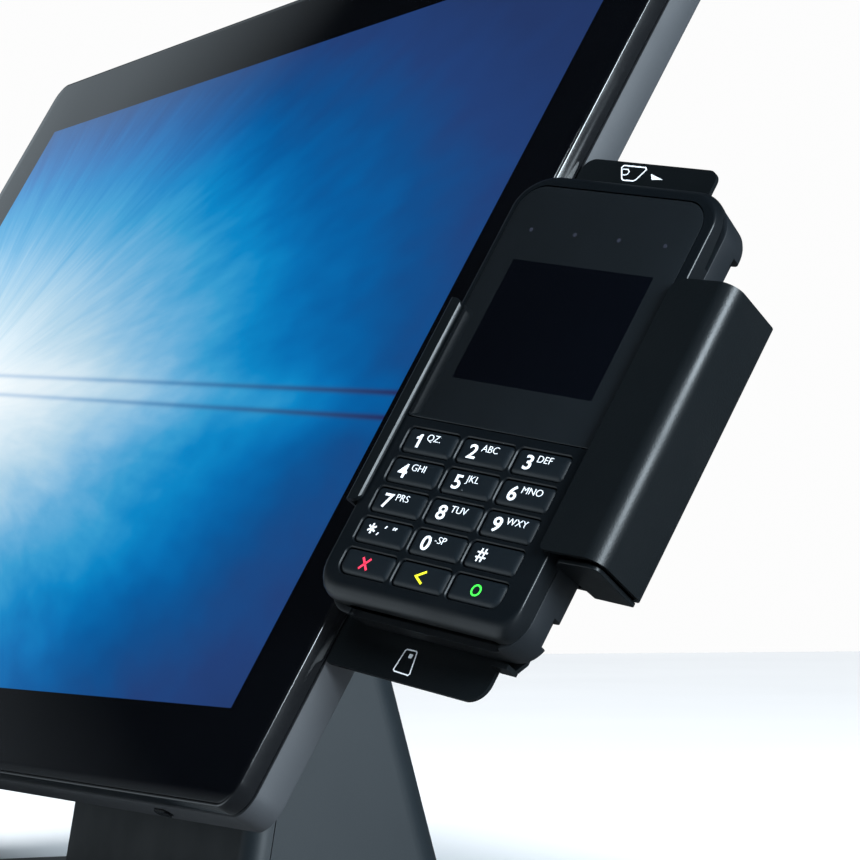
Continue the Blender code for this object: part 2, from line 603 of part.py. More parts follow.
def front_housing(frame):
    """Shell whose lower end rolls off towards the chip card slot."""
    def inside(inset, z, bottom):
        return at_z(terminal_outline(inset, inset, inset, bottom), z)

    def outside(angle):
        turn = math.radians(angle)
        depth = ROLL[1] * (1 - math.sin(turn))
        sides = [shoulder(depth, radius) for radius in SHOULDER]
        return at_z(terminal_outline(*sides, ROLL_BOTTOM + ROLL[0] * (1 - math.cos(turn))), FACE - depth)
    wall = (3.0, 2.4)
    shell = loft([inside(wall[0], FACE - 2.8, ROLL_BOTTOM + 5.8), inside(wall[1], SPLIT, ROLL_BOTTOM + 2.6),
                  inside(0.5, SPLIT, ROLL_BOTTOM + 0.4), inside(0.1, SPLIT + 1.0, ROLL_BOTTOM)]
                 + [outside(angle) for angle in (0, 30, 50, 65, 78, 90)])
    housing = node("terminal_front_housing", shell, "housing", frame)
    x0, x1, y0, y1 = LENS
    pocket = prism(rounded(x0 - 0.3, x1 + 0.3, y0 - 0.3, y1 + 0.1, (1.5, 9.6, 9.6, 1.5), 5), -1.9, 3.0)
    window = block(-WINDOW[0] / 2 - 1, WINDOW[0] / 2 + 1, -WINDOW[1] / 2 - 1, WINDOW[1] / 2 + 1, -6, 1)
    boolean(housing, pocket)
    boolean(housing, window)
    w, h = KEY_SIZE[0] / 2 + GAP, KEY_SIZE[1] / 2 + GAP
    cells = [prism(rounded(u - w, u + w, v - h, v + h, 1.3, 2), -5, 3) for u in KEY_U for v in KEY_V]
    boolean(housing, merged(cells))
    slot = rounded(CARD_SLOT[0], CARD_SLOT[1], SPLIT - 2, CARD_SLOT_FRONT, 1.6, 4)
    boolean(housing, cross_prism(slot, ROLL_BOTTOM - 3, ROLL_BOTTOM + 8))
    floor_u, low_v, narrow, wide = SWIPE_SLOT
    swipe = [(low_v, SPLIT - 1), (low_v, SPLIT + narrow), (TERM_TOP + 3, SPLIT + wide),
             (TERM_TOP + 3, SPLIT - 1)]
    boolean(housing, side_prism(swipe, floor_u, TERM_RIGHT + 3))


def rear_housing(frame):
    top = SPLIT - GAP
    seam, back = REAR_INSET
    corner = 11.0

    def ring(grow, z):
        inset = seam + grow
        return at_z(terminal_outline(inset, inset, inset, LIP_BOTTOM + grow, corner - grow), z)
    deep = back - seam
    shell = loft([ring(deep + 3.8, TERM_BACK + 2.2), ring(deep + 2.2, TERM_BACK + 5), ring(2.0, top),
                  ring(0.0, top), ring(deep, TERM_BACK + 3.4), ring(deep + 0.9, TERM_BACK + 1.0),
                  ring(deep + 3.4, TERM_BACK)])
    housing = node("terminal_rear_housing", shell, "housing", frame)
    boolean(housing, block(*CARD_SLOT, LIP_BOTTOM - 2, LIP_BOTTOM + 5, CARD_SLOT_REAR, top + 2))


def terminal_inside(frame):
    x0, x1, y0, y1 = LENS
    lens = rounded(x0, x1, y0, y1 - 0.3, (1.2, 9.3, 9.3, 1.2), 5)
    node("display_lens", prism(lens, -1.55, 0.0), "lens", frame)
    w, h = WINDOW[0] / 2 + 0.6, WINDOW[1] / 2 + 0.6
    node("lcd_module", prism(rounded(-w, w, -h, h, 0.6, 1), -4.6, -1.95), "module", frame)
    low = -5.2
    outer = rounded(-36.5, 36.5, -33.5, 42.5, 5, 3)
    inner = rounded(-31, 31, -26, 26, 3, 3)
    ring = loft([at_z(inner, low - 0.8), at_z(outer, low - 0.8), at_z(outer, low), at_z(inner, low)],
                cyclic=True)
    node("contactless_antenna", ring, "board", frame)
    mat = rounded(-35.0, 33.5, -90.6, -38.0, (8, 2, 2, 8), 3)
    node("keypad_mat", prism(mat, -5.8, -4.5), "rubber", frame)
    node("terminal_board", prism(rounded(-34, 34, -88, 44, (6, 3, 3, 6), 3), -8.0, -6.4), "board", frame)
    node("chip_card_reader", prism(rounded(-27, 27, -93, -50, 2, 2), -17.5, -9.6), "module", frame)
    node("swipe_reader_head", prism(rounded(23, 33, 16, 36, 2, 2), -16.5, -8.6), "module", frame)


def keys(frame):
    last_row, last_column = len(KEY_V) - 1, len(KEY_U) - 1
    for row, v in enumerate(KEY_V):
        for column_index, u in enumerate(KEY_U):
            name = KEY_NAMES[row][column_index]
            radii = [0.9, 0.9, 0.9, 0.9]
            if row == last_row and column_index == last_column:
                radii[0] = 3.4
            if row == last_row and column_index == 0:
                radii[3] = 3.4
            w, h = KEY_SIZE[0] / 2, KEY_SIZE[1] / 2

            def ring(inset, z):
                inner = [max(r - inset, 0.3) for r in radii]
                return at_z(rounded(u - w + inset, u + w - inset, v - h + inset, v + h - inset, inner, 3), z)
            body = loft([ring(0, KEY_TOP - KEY_DEPTH), ring(0, KEY_TOP - 0.7), ring(0.5, KEY_TOP)])
            node(name, body, "key", frame, origin=(u, v, KEY_TOP))


def build():
    clear_scene()
    base()
    column()
    spine()
    hinge()
    tilt = empty("tilt_hinge", (0, HINGE_Y, HINGE_Z), (90 - LEAN, 0, 0))
    display = empty("display_frame", (0, -HINGE_V, -HINGE_N), (0, 0, 0), tilt)
    terminal = empty("terminal_frame", (TERM_X, TERM_V, 0), (0, TERMINAL_YAW, 0), display)
    display_front(display)
    rear_cover(display)
    display_inside(display)
    hinge_bracket(display)
    cradle_plate(terminal)
    wrap_end_cap(terminal)
    cradle_arm(display, terminal)
    front_housing(terminal)
    rear_housing(terminal)
    terminal_inside(terminal)
    keys(terminal)


build()
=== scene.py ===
"""Looks of a counter-top self checkout kiosk: leaning touchscreen, tilt stand, card terminal in a cradle.

Shapes are written in millimetres and turned into metres by MM. Three frames place them: WORLD is
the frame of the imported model, DISPLAY lies at the centre of the front glass (x right, y up the
glass, z out of it), and TERMINAL at the centre of the card terminal's display (x right, y up,
z out of its face). A piece keeps its frame as its own matrix, so its Object coordinates are
distances in that frame, which the procedural materials use.
"""
import math

import bmesh
import bpy
from mathutils import Matrix, Vector

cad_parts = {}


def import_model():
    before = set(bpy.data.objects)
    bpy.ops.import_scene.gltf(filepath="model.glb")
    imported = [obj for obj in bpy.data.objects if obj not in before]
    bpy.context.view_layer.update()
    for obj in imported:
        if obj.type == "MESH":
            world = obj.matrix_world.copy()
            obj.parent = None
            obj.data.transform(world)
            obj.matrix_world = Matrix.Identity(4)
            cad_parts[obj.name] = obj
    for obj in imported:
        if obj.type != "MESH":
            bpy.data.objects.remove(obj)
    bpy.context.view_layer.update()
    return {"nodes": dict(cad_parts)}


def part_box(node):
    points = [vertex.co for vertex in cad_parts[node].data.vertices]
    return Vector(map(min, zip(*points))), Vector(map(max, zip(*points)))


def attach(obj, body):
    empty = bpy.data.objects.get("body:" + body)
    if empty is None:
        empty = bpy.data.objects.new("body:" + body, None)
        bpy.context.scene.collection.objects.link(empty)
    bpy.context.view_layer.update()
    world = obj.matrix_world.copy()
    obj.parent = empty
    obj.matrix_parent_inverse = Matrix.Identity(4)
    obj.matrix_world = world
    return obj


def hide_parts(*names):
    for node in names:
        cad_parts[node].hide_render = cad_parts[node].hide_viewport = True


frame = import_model()

MM = 0.001
GAP = 0.35                       # clearance between neighbouring pieces

# Frames
LEAN = 30.0
TERMINAL_YAW = 19.4
HINGE = sum(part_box("hinge_shaft"), Vector()) / 2
HINGE_V, HINGE_N = -10.0, -62.0  # the hinge measured on the display
TERM_X, TERM_V = 347.9, -15.4    # the terminal's display centre, measured on the display

WORLD = Matrix.Identity(4)
DISPLAY = (Matrix.Translation(HINGE) @ Matrix.Rotation(math.radians(90 - LEAN), 4, "X")
           @ Matrix.Translation(Vector((0, -HINGE_V, -HINGE_N)) * MM))
TERMINAL = (DISPLAY @ Matrix.Translation(Vector((TERM_X, TERM_V, 0)) * MM)
            @ Matrix.Rotation(math.radians(TERMINAL_YAW), 4, "Y"))

# Display head
HEAD_X, HEAD_Y, HEAD_R = 298.6, 182.4, 9.0
ACTIVE = (265.7, 149.45)         # half size of the picture
TRIM_BACK, FRAME_BACK = -6.7, -17.2
TRIM_CREST = -3.7                # the trim's widest line
COVER_FACE, BULGE_BACK = -17.0, -46.0
BULGE = (-205.0, 205.0, -128.0, 120.0)
GLASS_T = 3.0
BUTTON_X, BUTTON_Z = 228.0, -12.1
BUTTON_SIZE = (9.8, 3.8)
SINKS = [(x, y) for x in (-170.0, 170.0) for y in (-92.0, 50.0)]   # countersunk screws of the case
LABEL = (-178.0, -118.0, -58.0, -18.0)
VENT_X = [side * (78 + 11.0 * i) for side in (-1, 1) for i in range(9)]
BRACKET_SCREWS = ((-50.0, -52.0), (50.0, -52.0), (-50.0, 38.0), (50.0, 38.0))
ARM_SCREWS = ((252.0, -62.0), (252.0, 14.0))

# Stand
BASE_X, BASE_Y, BASE_R = 140.0, 120.0, 34.0
BASE_LOW, BASE_TOP = 2.35, 14.3
COLUMN_X = 90.0
COLUMN_TOP, COLUMN_LOW = 160.0, 14.65
COLUMN_FRONT = (10.0, -14.0)
COLUMN_REAR = (36.7, 79.4)
COLUMN_WALL, COLUMN_CORNER = 2.5, 14.0
OUTLET_Z = 36.0

# Terminal
TERM_LEFT, TERM_RIGHT = -41.7, 41.0
TERM_TOP, ROLL_BOTTOM = 54.2, -98.8
TERM_CORNER = 13.5
FACE, SPLIT, TERM_BACK = -0.1, -7.0, -21.3
SHOULDER = (2.0, 0.6, 4.5)       # edge radius of the face at the left, right and top
ROLL = (5.0, 4.5)                # width and depth of the roll-off above the card slot
REAR_INSET = (0.5, 1.7)          # the rear housing stands back by this at its seam and at its back
LIP_BOTTOM = -100.8
CARD_SLOT = (-29.0, 33.0)
CARD_SLOT_FRONT, CARD_SLOT_REAR = -5.4, -9.0
SWIPE_SLOT = (37.0, 29.5, 1.7, 3.9)   # swipe slot: floor, lower end, width there and at the top
LENS = (-38.9, 37.0, -36.7, 49.0)
WINDOW = (57.6, 43.2)
KEY_U = (-24.15, -1.0, 21.85)
KEY_V = (-44.5, -55.05, -65.6, -76.15, -87.0)
KEY_W, KEY_H = 10.5, 4.15        # half sizes of a key
KEY_DEPTH, KEY_TOP = 3.4, 0.1
PRINT = 0.05                     # half thickness of the lettering on the keys

# Cradle
SHEET = 1.5
PLATE_FACE = -22.0
PLATE_LEFT = -43.6
WRAP = (-71.0, 21.5)
CLIP = (-68.4, 4.4)
STOP_LIP = (23.0, 29.4, -100.4, 3.9)  # left and right end, upper face, reach out of the plate
ARM_RANGE = (-66.0, 44.0)


# Outlines and solids -------------------------------------------------------------------------

def arc(cx, cy, radius, start, stop, steps):
    """Points on an arc, both ends included; angles in degrees."""
    angles = [math.radians(start + (stop - start) * i / steps) for i in range(steps + 1)]
    return [(cx + radius * math.cos(a), cy + radius * math.sin(a)) for a in angles]


def rounded(x0, x1, y0, y1, radii, steps=8):
    """Rounded rectangle, anticlockwise; radii for the corners x1y0, x1y1, x0y1, x0y0."""
    if isinstance(radii, (int, float)):
        radii = (radii,) * 4
    r0, r1, r2, r3 = radii
    return (arc(x1 - r0, y0 + r0, r0, -90, 0, steps) + arc(x1 - r1, y1 - r1, r1, 0, 90, steps)
            + arc(x0 + r2, y1 - r2, r2, 90, 180, steps) + arc(x0 + r3, y0 + r3, r3, 180, 270, steps))


def loft(sections, cyclic=False):
    """Skin a list of closed sections that have the same number of points."""
    bm = bmesh.new()
    loops = [[bm.verts.new(p) for p in section] for section in sections]
    pairs = list(zip(loops, loops[1:]))
    if cyclic:
        pairs.append((loops[-1], loops[0]))
    for low, high in pairs:
        for i in range(len(low)):
            j = (i + 1) % len(low)
            bm.faces.new((low[i], low[j], high[j], high[i]))
    if not cyclic:
        bm.faces.new(list(reversed(loops[0])))
        bm.faces.new(loops[-1])
    bmesh.ops.recalc_face_normals(bm, faces=bm.faces)
    return bm


def turns(start, stop, step):
    """Angles from start to stop; the arguments are in degrees, the results in radians."""
    return [math.radians(a) for a in range(start, stop + 1, step)]


def centred(half_x, half_y, inset, radius, steps):
    """Rounded rectangle round the origin, drawn in from its edge by inset."""
    x, y = half_x - inset, half_y - inset
    return rounded(-x, x, -y, y, max(radius - inset, 1.0), steps)


def at_z(outline, z):
    return [(x, y, z) for x, y in outline]


def prism(outline, z0, z1):
    return loft([at_z(outline, z0), at_z(outline, z1)])


def side_prism(outline, x0, x1):
    """Extrude a (y, z) outline along x."""
    return loft([[(x, y, z) for y, z in outline] for x in (x0, x1)])


def cross_prism(outline, y0, y1):
    """Extrude an (x, z) outline along y."""
    return loft([[(x, y, z) for x, z in outline] for y in (y0, y1)])


def block(x0, x1, y0, y1, z0, z1):
    return prism([(x0, y0), (x1, y0), (x1, y1), (x0, y1)], z0, z1)


def merged(meshes):
    """Several separate solids as one mesh."""
    out = bmesh.new()
    for bm in meshes:
        mesh = bpy.data.meshes.new("part")
        bm.to_mesh(mesh)
        bm.free()
        out.from_mesh(mesh)
        bpy.data.meshes.remove(mesh)
    return out


def cut(*meshes):
    """Steps for piece that take the given meshes away from it."""
    return [("DIFFERENCE", bm) for bm in meshes]


def frame_between(p, q):
    """Matrix that puts the z axis along p to q, with its origin at p."""
    p, q = Vector(p), Vector(q)
    return Matrix.Translation(p) @ (q - p).to_track_quat("Z", "Y").to_matrix().to_4x4()


def turned(profile, place, steps=48):
    """Closed solid of revolution: profile is a loop of (radius, height), round the z axis of place."""
    angles = [2 * math.pi * i / steps for i in range(steps)]
    rings = [[place @ Vector((r * math.cos(a), r * math.sin(a), z)) for a in angles] for r, z in profile]
    return loft(rings, cyclic=True)


def bores(places, z0, z1, radius=2.3, steps=24):
    """Upright cylinders at several places, as one mesh."""
    return merged([rod(radius, (x, y, z0), (x, y, z1), steps) for x, y in places])


def rod(radius, p, q, steps=32, edge=0.0):
    """Solid cylinder between two points, with chamfered ends if edge is given."""
    place = frame_between(p, q)
    length = (Vector(q) - Vector(p)).length
    profile = [(radius - edge, 0), (radius, edge), (radius, length - edge), (radius - edge, length)]
    if not edge:
        profile = profile[1:3]
    angles = [2 * math.pi * i / steps for i in range(steps)]
    return loft([[place @ Vector((r * math.cos(a), r * math.sin(a), z)) for a in angles] for r, z in profile])


def bent_path(points, radii, steps=10):
    """Round the inner corners of an open path."""
    out = [Vector(points[0])]
    for i in range(1, len(points) - 1):
        before, here, after = (Vector(points[k]) for k in (i - 1, i, i + 1))
        a, b = (before - here).normalized(), (after - here).normalized()
        half = a.angle(b) / 2
        cut = radii[i - 1] / math.tan(half)
        centre = here + (a + b).normalized() * radii[i - 1] / math.sin(half)
        start, stop = here + a * cut - centre, here + b * cut - centre
        sweep = start.angle_signed(stop)
        for k in range(steps + 1):
            out.append(centre + Matrix.Rotation(-sweep * k / steps, 2) @ start)
    out.append(Vector(points[-1]))
    return out


def strip(points, thickness):
    """Closed outline of a sheet that follows an open path."""
    left, right = [], []
    for i, here in enumerate(points):
        a = (here - points[i - 1]).normalized() if i else None
        b = (points[i + 1] - here).normalized() if i + 1 < len(points) else None
        along = ((a or b) + (b or a)).normalized()
        across = Vector((-along.y, along.x)) * thickness / 2
        if a and b:
            across /= max(0.5, along.dot(a))
        left.append(here + across)
        right.append(here - across)
    return [(p.x, p.y) for p in left] + [(p.x, p.y) for p in reversed(right)]


def ribbon(points, width, z0, z1, closed=True):
    """Thin raised line of constant width along a path of points."""
    count = len(points)
    inner, outer = [], []
    for i in range(count):
        here = Vector(points[i])
        before = Vector(points[i - 1]) if closed or i else None
        after = Vector(points[(i + 1) % count]) if closed or i + 1 < count else None
        a = (here - before).normalized() if before else None
        b = (after - here).normalized() if after else None
        along = ((a or b) + (b or a)).normalized()
        across = Vector((-along.y, along.x)) * width / 2
        if a and b:
            across /= max(0.5, along.dot(a))
        inner.append(here + across)
        outer.append(here - across)
    if closed:
        rings = [(inner, z0), (inner, z1), (outer, z1), (outer, z0)]
        return loft([[(p.x, p.y, z) for p in ring] for ring, z in rings], cyclic=True)
    return prism([(p.x, p.y) for p in inner] + [(p.x, p.y) for p in reversed(outer)], z0, z1)


# Pieces --------------------------------------------------------------------------------------

def mesh_object(name, bm, place):
    bmesh.ops.scale(bm, verts=bm.verts, vec=(MM, MM, MM))
    bmesh.ops.recalc_face_normals(bm, faces=bm.faces)
    mesh = bpy.data.meshes.new(name)
    bm.to_mesh(mesh)
    bm.free()
    obj = bpy.data.objects.new(name, mesh)
    bpy.context.scene.collection.objects.link(obj)
    obj.matrix_world = place
    return obj


def finished(obj, steps, bevel, segments, smooth):
    """Apply boolean steps and a bevel, and shade the result."""
    tools = []
    for i, (operation, bm) in enumerate(steps):
        tool = mesh_object(f"{obj.name}_tool_{i}", bm, obj.matrix_world)
        mod = obj.modifiers.new(f"shape_{i}", "BOOLEAN")
        mod.operation, mod.solver, mod.object = operation, "EXACT", tool
        tools.append(tool)
    if bevel:
        mod = obj.modifiers.new("edges", "BEVEL")
        mod.width, mod.segments, mod.limit_method = bevel * MM, segments, "ANGLE"
        mod.angle_limit = math.radians(38)
        mod.harden_normals = False
    bpy.context.view_layer.update()
    graph = bpy.context.evaluated_depsgraph_get()
    mesh = bpy.data.meshes.new_from_object(obj.evaluated_get(graph))
    obj.modifiers.clear()
    obj.data = mesh
    for tool in tools:
        bpy.data.objects.remove(tool, do_unlink=True)
    mesh.shade_smooth()
    mesh.set_sharp_from_angle(angle=math.radians(smooth))
    if bevel:
        obj.modifiers.new("flat_faces", "WEIGHTED_NORMAL").keep_sharp = True


def piece(name, bm, mat, body, place, replaces=(), steps=(), bevel=0.0, segments=2, smooth=40):
    """Make a piece from a mesh in millimetres and let it ride on a body; mat is (material, slot), and the
    slot is not used.
    """
    obj = mesh_object(name, bm, place)
    finished(obj, steps, bevel, segments, smooth)
    material, slot_name = mat
    obj.data.materials.clear()
    obj.data.materials.append(material)
    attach(obj, body)
    if replaces:
        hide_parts(*([replaces] if isinstance(replaces, str) else replaces))
    return obj


# Materials -----------------------------------------------------------------------------------

def linear(value):
    """One sRGB value from 0 to 255 as linear light."""
    v = value / 255
    return v / 12.92 if v <= 0.04045 else ((v + 0.055) / 1.055) ** 2.4


def rgb(*values):
    return (*(linear(v) for v in values), 1.0)


class Net:
    """Short names for the nodes that the materials are made of."""

    def __init__(self, name):
        self.mat = bpy.data.materials.new(name)
        self.mat.use_nodes = True
        self.tree = self.mat.node_tree
        self.shader = self.tree.nodes["Principled BSDF"]
        self.place = self.tree.nodes.new("ShaderNodeTexCoord").outputs["Object"]

    def node(self, kind, **values):
        made = self.tree.nodes.new(kind)
        for key, value in values.items():
            setattr(made, key, value)
        return made

    def link(self, source, target):
        if isinstance(source, (int, float)):
            target.default_value = source
        else:
            self.tree.links.new(source, target)

    def math(self, operation, *values):
        made = self.node("ShaderNodeMath", operation=operation)
        for value, target in zip(values, made.inputs):
            self.link(value, target)
        return made.outputs[0]

    def noise(self, scale, detail=2.0, stretch=None, vector=None):
        vector = vector or self.place
        if stretch:
            mapping = self.node("ShaderNodeMapping")
            mapping.inputs["Scale"].default_value = stretch
            self.tree.links.new(vector, mapping.inputs["Vector"])
            vector = mapping.outputs[0]
        made = self.node("ShaderNodeTexNoise")
        made.inputs["Scale"].default_value = scale
        made.inputs["Detail"].default_value = detail
        self.tree.links.new(vector, made.inputs["Vector"])
        return made.outputs["Fac"]

    def spread(self, source, low, high, start=0.3, stop=0.7):
        """Map a value from start..stop to low..high."""
        made = self.node("ShaderNodeMapRange")
        self.link(source, made.inputs["Value"])
        for name, value in (("From Min", start), ("From Max", stop), ("To Min", low), ("To Max", high)):
            self.link(value, made.inputs[name])
        return made.outputs[0]

    def ramp(self, source, stops):
        made = self.node("ShaderNodeValToRGB")
        self.link(source, made.inputs[0])
        elements = made.color_ramp.elements
        for i, (position, color) in enumerate(stops):
            element = elements[i] if i < 2 else elements.new(position)
            element.position = position
            element.color = color
        return made.outputs["Color"]

    def mix(self, factor, a, b):
        made = self.node("ShaderNodeMix", data_type="RGBA")
        self.link(factor, made.inputs[0])
        for value, target in ((a, made.inputs[6]), (b, made.inputs[7])):
            if isinstance(value, tuple):
                target.default_value = value
            else:
                self.tree.links.new(value, target)
        return made.outputs[2]

    def bump(self, height, distance, strength=1.0):
        made = self.node("ShaderNodeBump")
        made.inputs["Strength"].default_value = strength
        made.inputs["Distance"].default_value = distance
        self.link(height, made.inputs["Height"])
        return made.outputs[0]

    def put(self, name, value):
        target = self.shader.inputs[name]
        if isinstance(value, (int, float, tuple)):
            target.default_value = value
        else:
            self.tree.links.new(value, target)


def shade(color, factor):
    return (*(min(1.0, c * factor) for c in color[:3]), 1.0)


def surface(name, color, rough, metallic=0.0, grain=900.0, depth=0.00002, vary=0.12, rough_vary=0.06,
            specular=0.5, stretch=None, detail=2.0, speck=0.0):
    """A finish with a fine relief, a slow change of colour and roughness, and flakes if speck is given."""
    net = Net(name)
    slow = net.noise(14.0, 3.0)
    fine = net.noise(grain, detail, stretch)
    base = net.mix(slow, shade(color, 1 - vary), shade(color, 1 + vary))
    base = net.mix(net.spread(fine, 0.0, 0.5), base, shade(color, 1 - 2 * vary))
    if speck:
        flakes = net.spread(net.noise(2600.0, 1.0), 0.0, speck, 0.66, 0.74)
        base = net.mix(flakes, base, shade(color, 6.0))
    net.put("Base Color", base)
    net.put("Roughness", net.spread(net.noise(40.0, 4.0), rough - rough_vary, rough + rough_vary))
    net.put("Metallic", metallic)
    net.put("Specular IOR Level", specular)
    net.put("Normal", net.bump(fine, depth))
    return net.mat


def wallpaper(net):
    """Colour of the screen's picture: a pale burst at the left that runs out into deep blue."""
    split = net.node("ShaderNodeSeparateXYZ")
    net.tree.links.new(net.place, split.inputs[0])
    x = net.math("MULTIPLY", split.outputs[0], 1 / MM)
    y = net.math("MULTIPLY", split.outputs[1], 1 / MM)
    centre_x, centre_y, tilt, squeeze = -197.0, -17.0, -0.047, 2.66
    dx, dy = net.math("SUBTRACT", x, centre_x), net.math("SUBTRACT", y, centre_y)
    along = net.math("ADD", net.math("MULTIPLY", dx, math.cos(tilt)),
                     net.math("MULTIPLY", dy, math.sin(tilt)))
    across = net.math("SUBTRACT", net.math("MULTIPLY", dy, math.cos(tilt)),
                      net.math("MULTIPLY", dx, math.sin(tilt)))
    reach = net.math("SQRT", net.math("ADD", net.math("POWER", net.math("ABSOLUTE", along), 2.0),
                                      net.math("POWER", net.math("MULTIPLY", across, squeeze), 2.0)))

    # rays that run out from the burst
    radius = net.math("SQRT", net.math("ADD", net.math("MULTIPLY", dx, dx), net.math("MULTIPLY", dy, dy)))
    direction = net.node("ShaderNodeCombineXYZ")
    net.link(net.math("DIVIDE", dx, radius), direction.inputs[0])
    net.link(net.math("DIVIDE", dy, radius), direction.inputs[1])
    net.link(net.math("MULTIPLY", radius, 0.0012), direction.inputs[2])
    broad = net.spread(net.noise(7.0, 2.0, vector=direction.outputs[0]), -16.0, 16.0)
    thin = net.spread(net.noise(34.0, 3.0, vector=direction.outputs[0]), -9.0, 9.0)
    mist = net.spread(net.noise(11.0, 4.0), -12.0, 12.0)

    # a band of light along the burst's axis with two thin dark streaks in it
    line = net.math("ADD", y, net.math("MULTIPLY", x, 0.083))
    band = net.math("POWER", net.math("DIVIDE", net.math("ADD", line, 16.0), 13.0), 2.0)
    glow = net.math("MULTIPLY", net.math("EXPONENT", net.math("MULTIPLY", band, -1.0)), -46.0)
    reach = net.math("ADD", net.math("ADD", reach, net.math("ADD", broad, thin)), net.math("ADD", mist, glow))
    stops = ((0, (246, 251, 253)), (110, (214, 233, 244)), (170, (176, 211, 232)), (210, (144, 194, 226)),
             (250, (99, 173, 217)), (290, (52, 155, 208)), (330, (7, 133, 197)), (370, (1, 111, 180)),
             (410, (1, 92, 160)), (450, (12, 77, 140)), (520, (32, 62, 118)), (600, (33, 54, 102)))
    far = stops[-1][0]
    color = net.ramp(net.math("DIVIDE", reach, far), [(r / far, rgb(*c)) for r, c in stops])
    for offset in (11.3, 20.8):
        gap = net.math("POWER", net.math("DIVIDE", net.math("ADD", line, offset), 1.15), 2.0)
        dark = net.math("EXPONENT", net.math("MULTIPLY", gap, -1.0))
        dark = net.math("MULTIPLY", dark, net.spread(x, 0.35, 0.85, -80.0, 240.0))
        color = net.mix(dark, color, net.ramp(net.spread(x, 0.0, 1.0, -60.0, 265.0),
                                              ((0.0, rgb(60, 140, 200)), (1.0, rgb(38, 36, 82)))))
    inside = net.math("MULTIPLY", net.math("LESS_THAN", net.math("ABSOLUTE", x), ACTIVE[0]),
                      net.math("LESS_THAN", net.math("ABSOLUTE", y), ACTIVE[1]))
    return color, inside


def screen_glass():
    net = Net("screen_glass")
    color, inside = wallpaper(net)
    net.put("Base Color", net.mix(net.noise(30.0, 2.0), rgb(3, 4, 6), rgb(5, 6, 9)))
    net.put("Roughness", net.spread(net.noise(9.0, 5.0), 0.035, 0.085))
    net.put("Emission Color", net.mix(inside, (0.0, 0.0, 0.0, 1.0), color))
    net.put("Emission Strength", 1.0)
    net.put("Normal", net.bump(net.noise(5.0, 1.0), 0.00001, 0.3))
    return net.mat


def terminal_lens():
    """Smoked cover with a darker display window under it."""
    net = Net("terminal_lens")
    split = net.node("ShaderNodeSeparateXYZ")
    net.tree.links.new(net.place, split.inputs[0])
    half_u, half_v = (side * MM / 2 for side in WINDOW)
    window = net.math("MULTIPLY", net.math("LESS_THAN", net.math("ABSOLUTE", split.outputs[0]), half_u),
                      net.math("LESS_THAN", net.math("ABSOLUTE", split.outputs[1]), half_v))
    cover = net.mix(net.noise(60.0, 3.0), rgb(13, 16, 18), rgb(16, 19, 22))
    net.put("Base Color", net.mix(window, cover, rgb(3, 4, 7)))
    net.put("Roughness", net.spread(net.noise(25.0, 4.0), 0.10, 0.17))
    net.put("Normal", net.bump(net.noise(700.0, 2.0), 0.000004, 0.5))
    return net.mat


def circuit_board():
    net = Net("circuit_board")
    tracks = net.node("ShaderNodeTexBrick")
    tracks.inputs["Scale"].default_value = 90.0
    net.tree.links.new(net.place, tracks.inputs["Vector"])
    copper = net.math("MULTIPLY", tracks.outputs["Fac"], 0.6)
    net.put("Base Color", net.mix(copper, rgb(12, 84, 48), rgb(44, 120, 70)))
    net.put("Roughness", net.spread(net.noise(120.0, 3.0), 0.35, 0.6))
    net.put("Normal", net.bump(tracks.outputs["Fac"], 0.00008))
    return net.mat


def brushed(name, color, rough, stretch):
    """Metal with fine lines along one axis."""
    return surface(name, color, rough, 1.0, 220.0, 0.000012, 0.08, 0.07, stretch=stretch, detail=5.0)


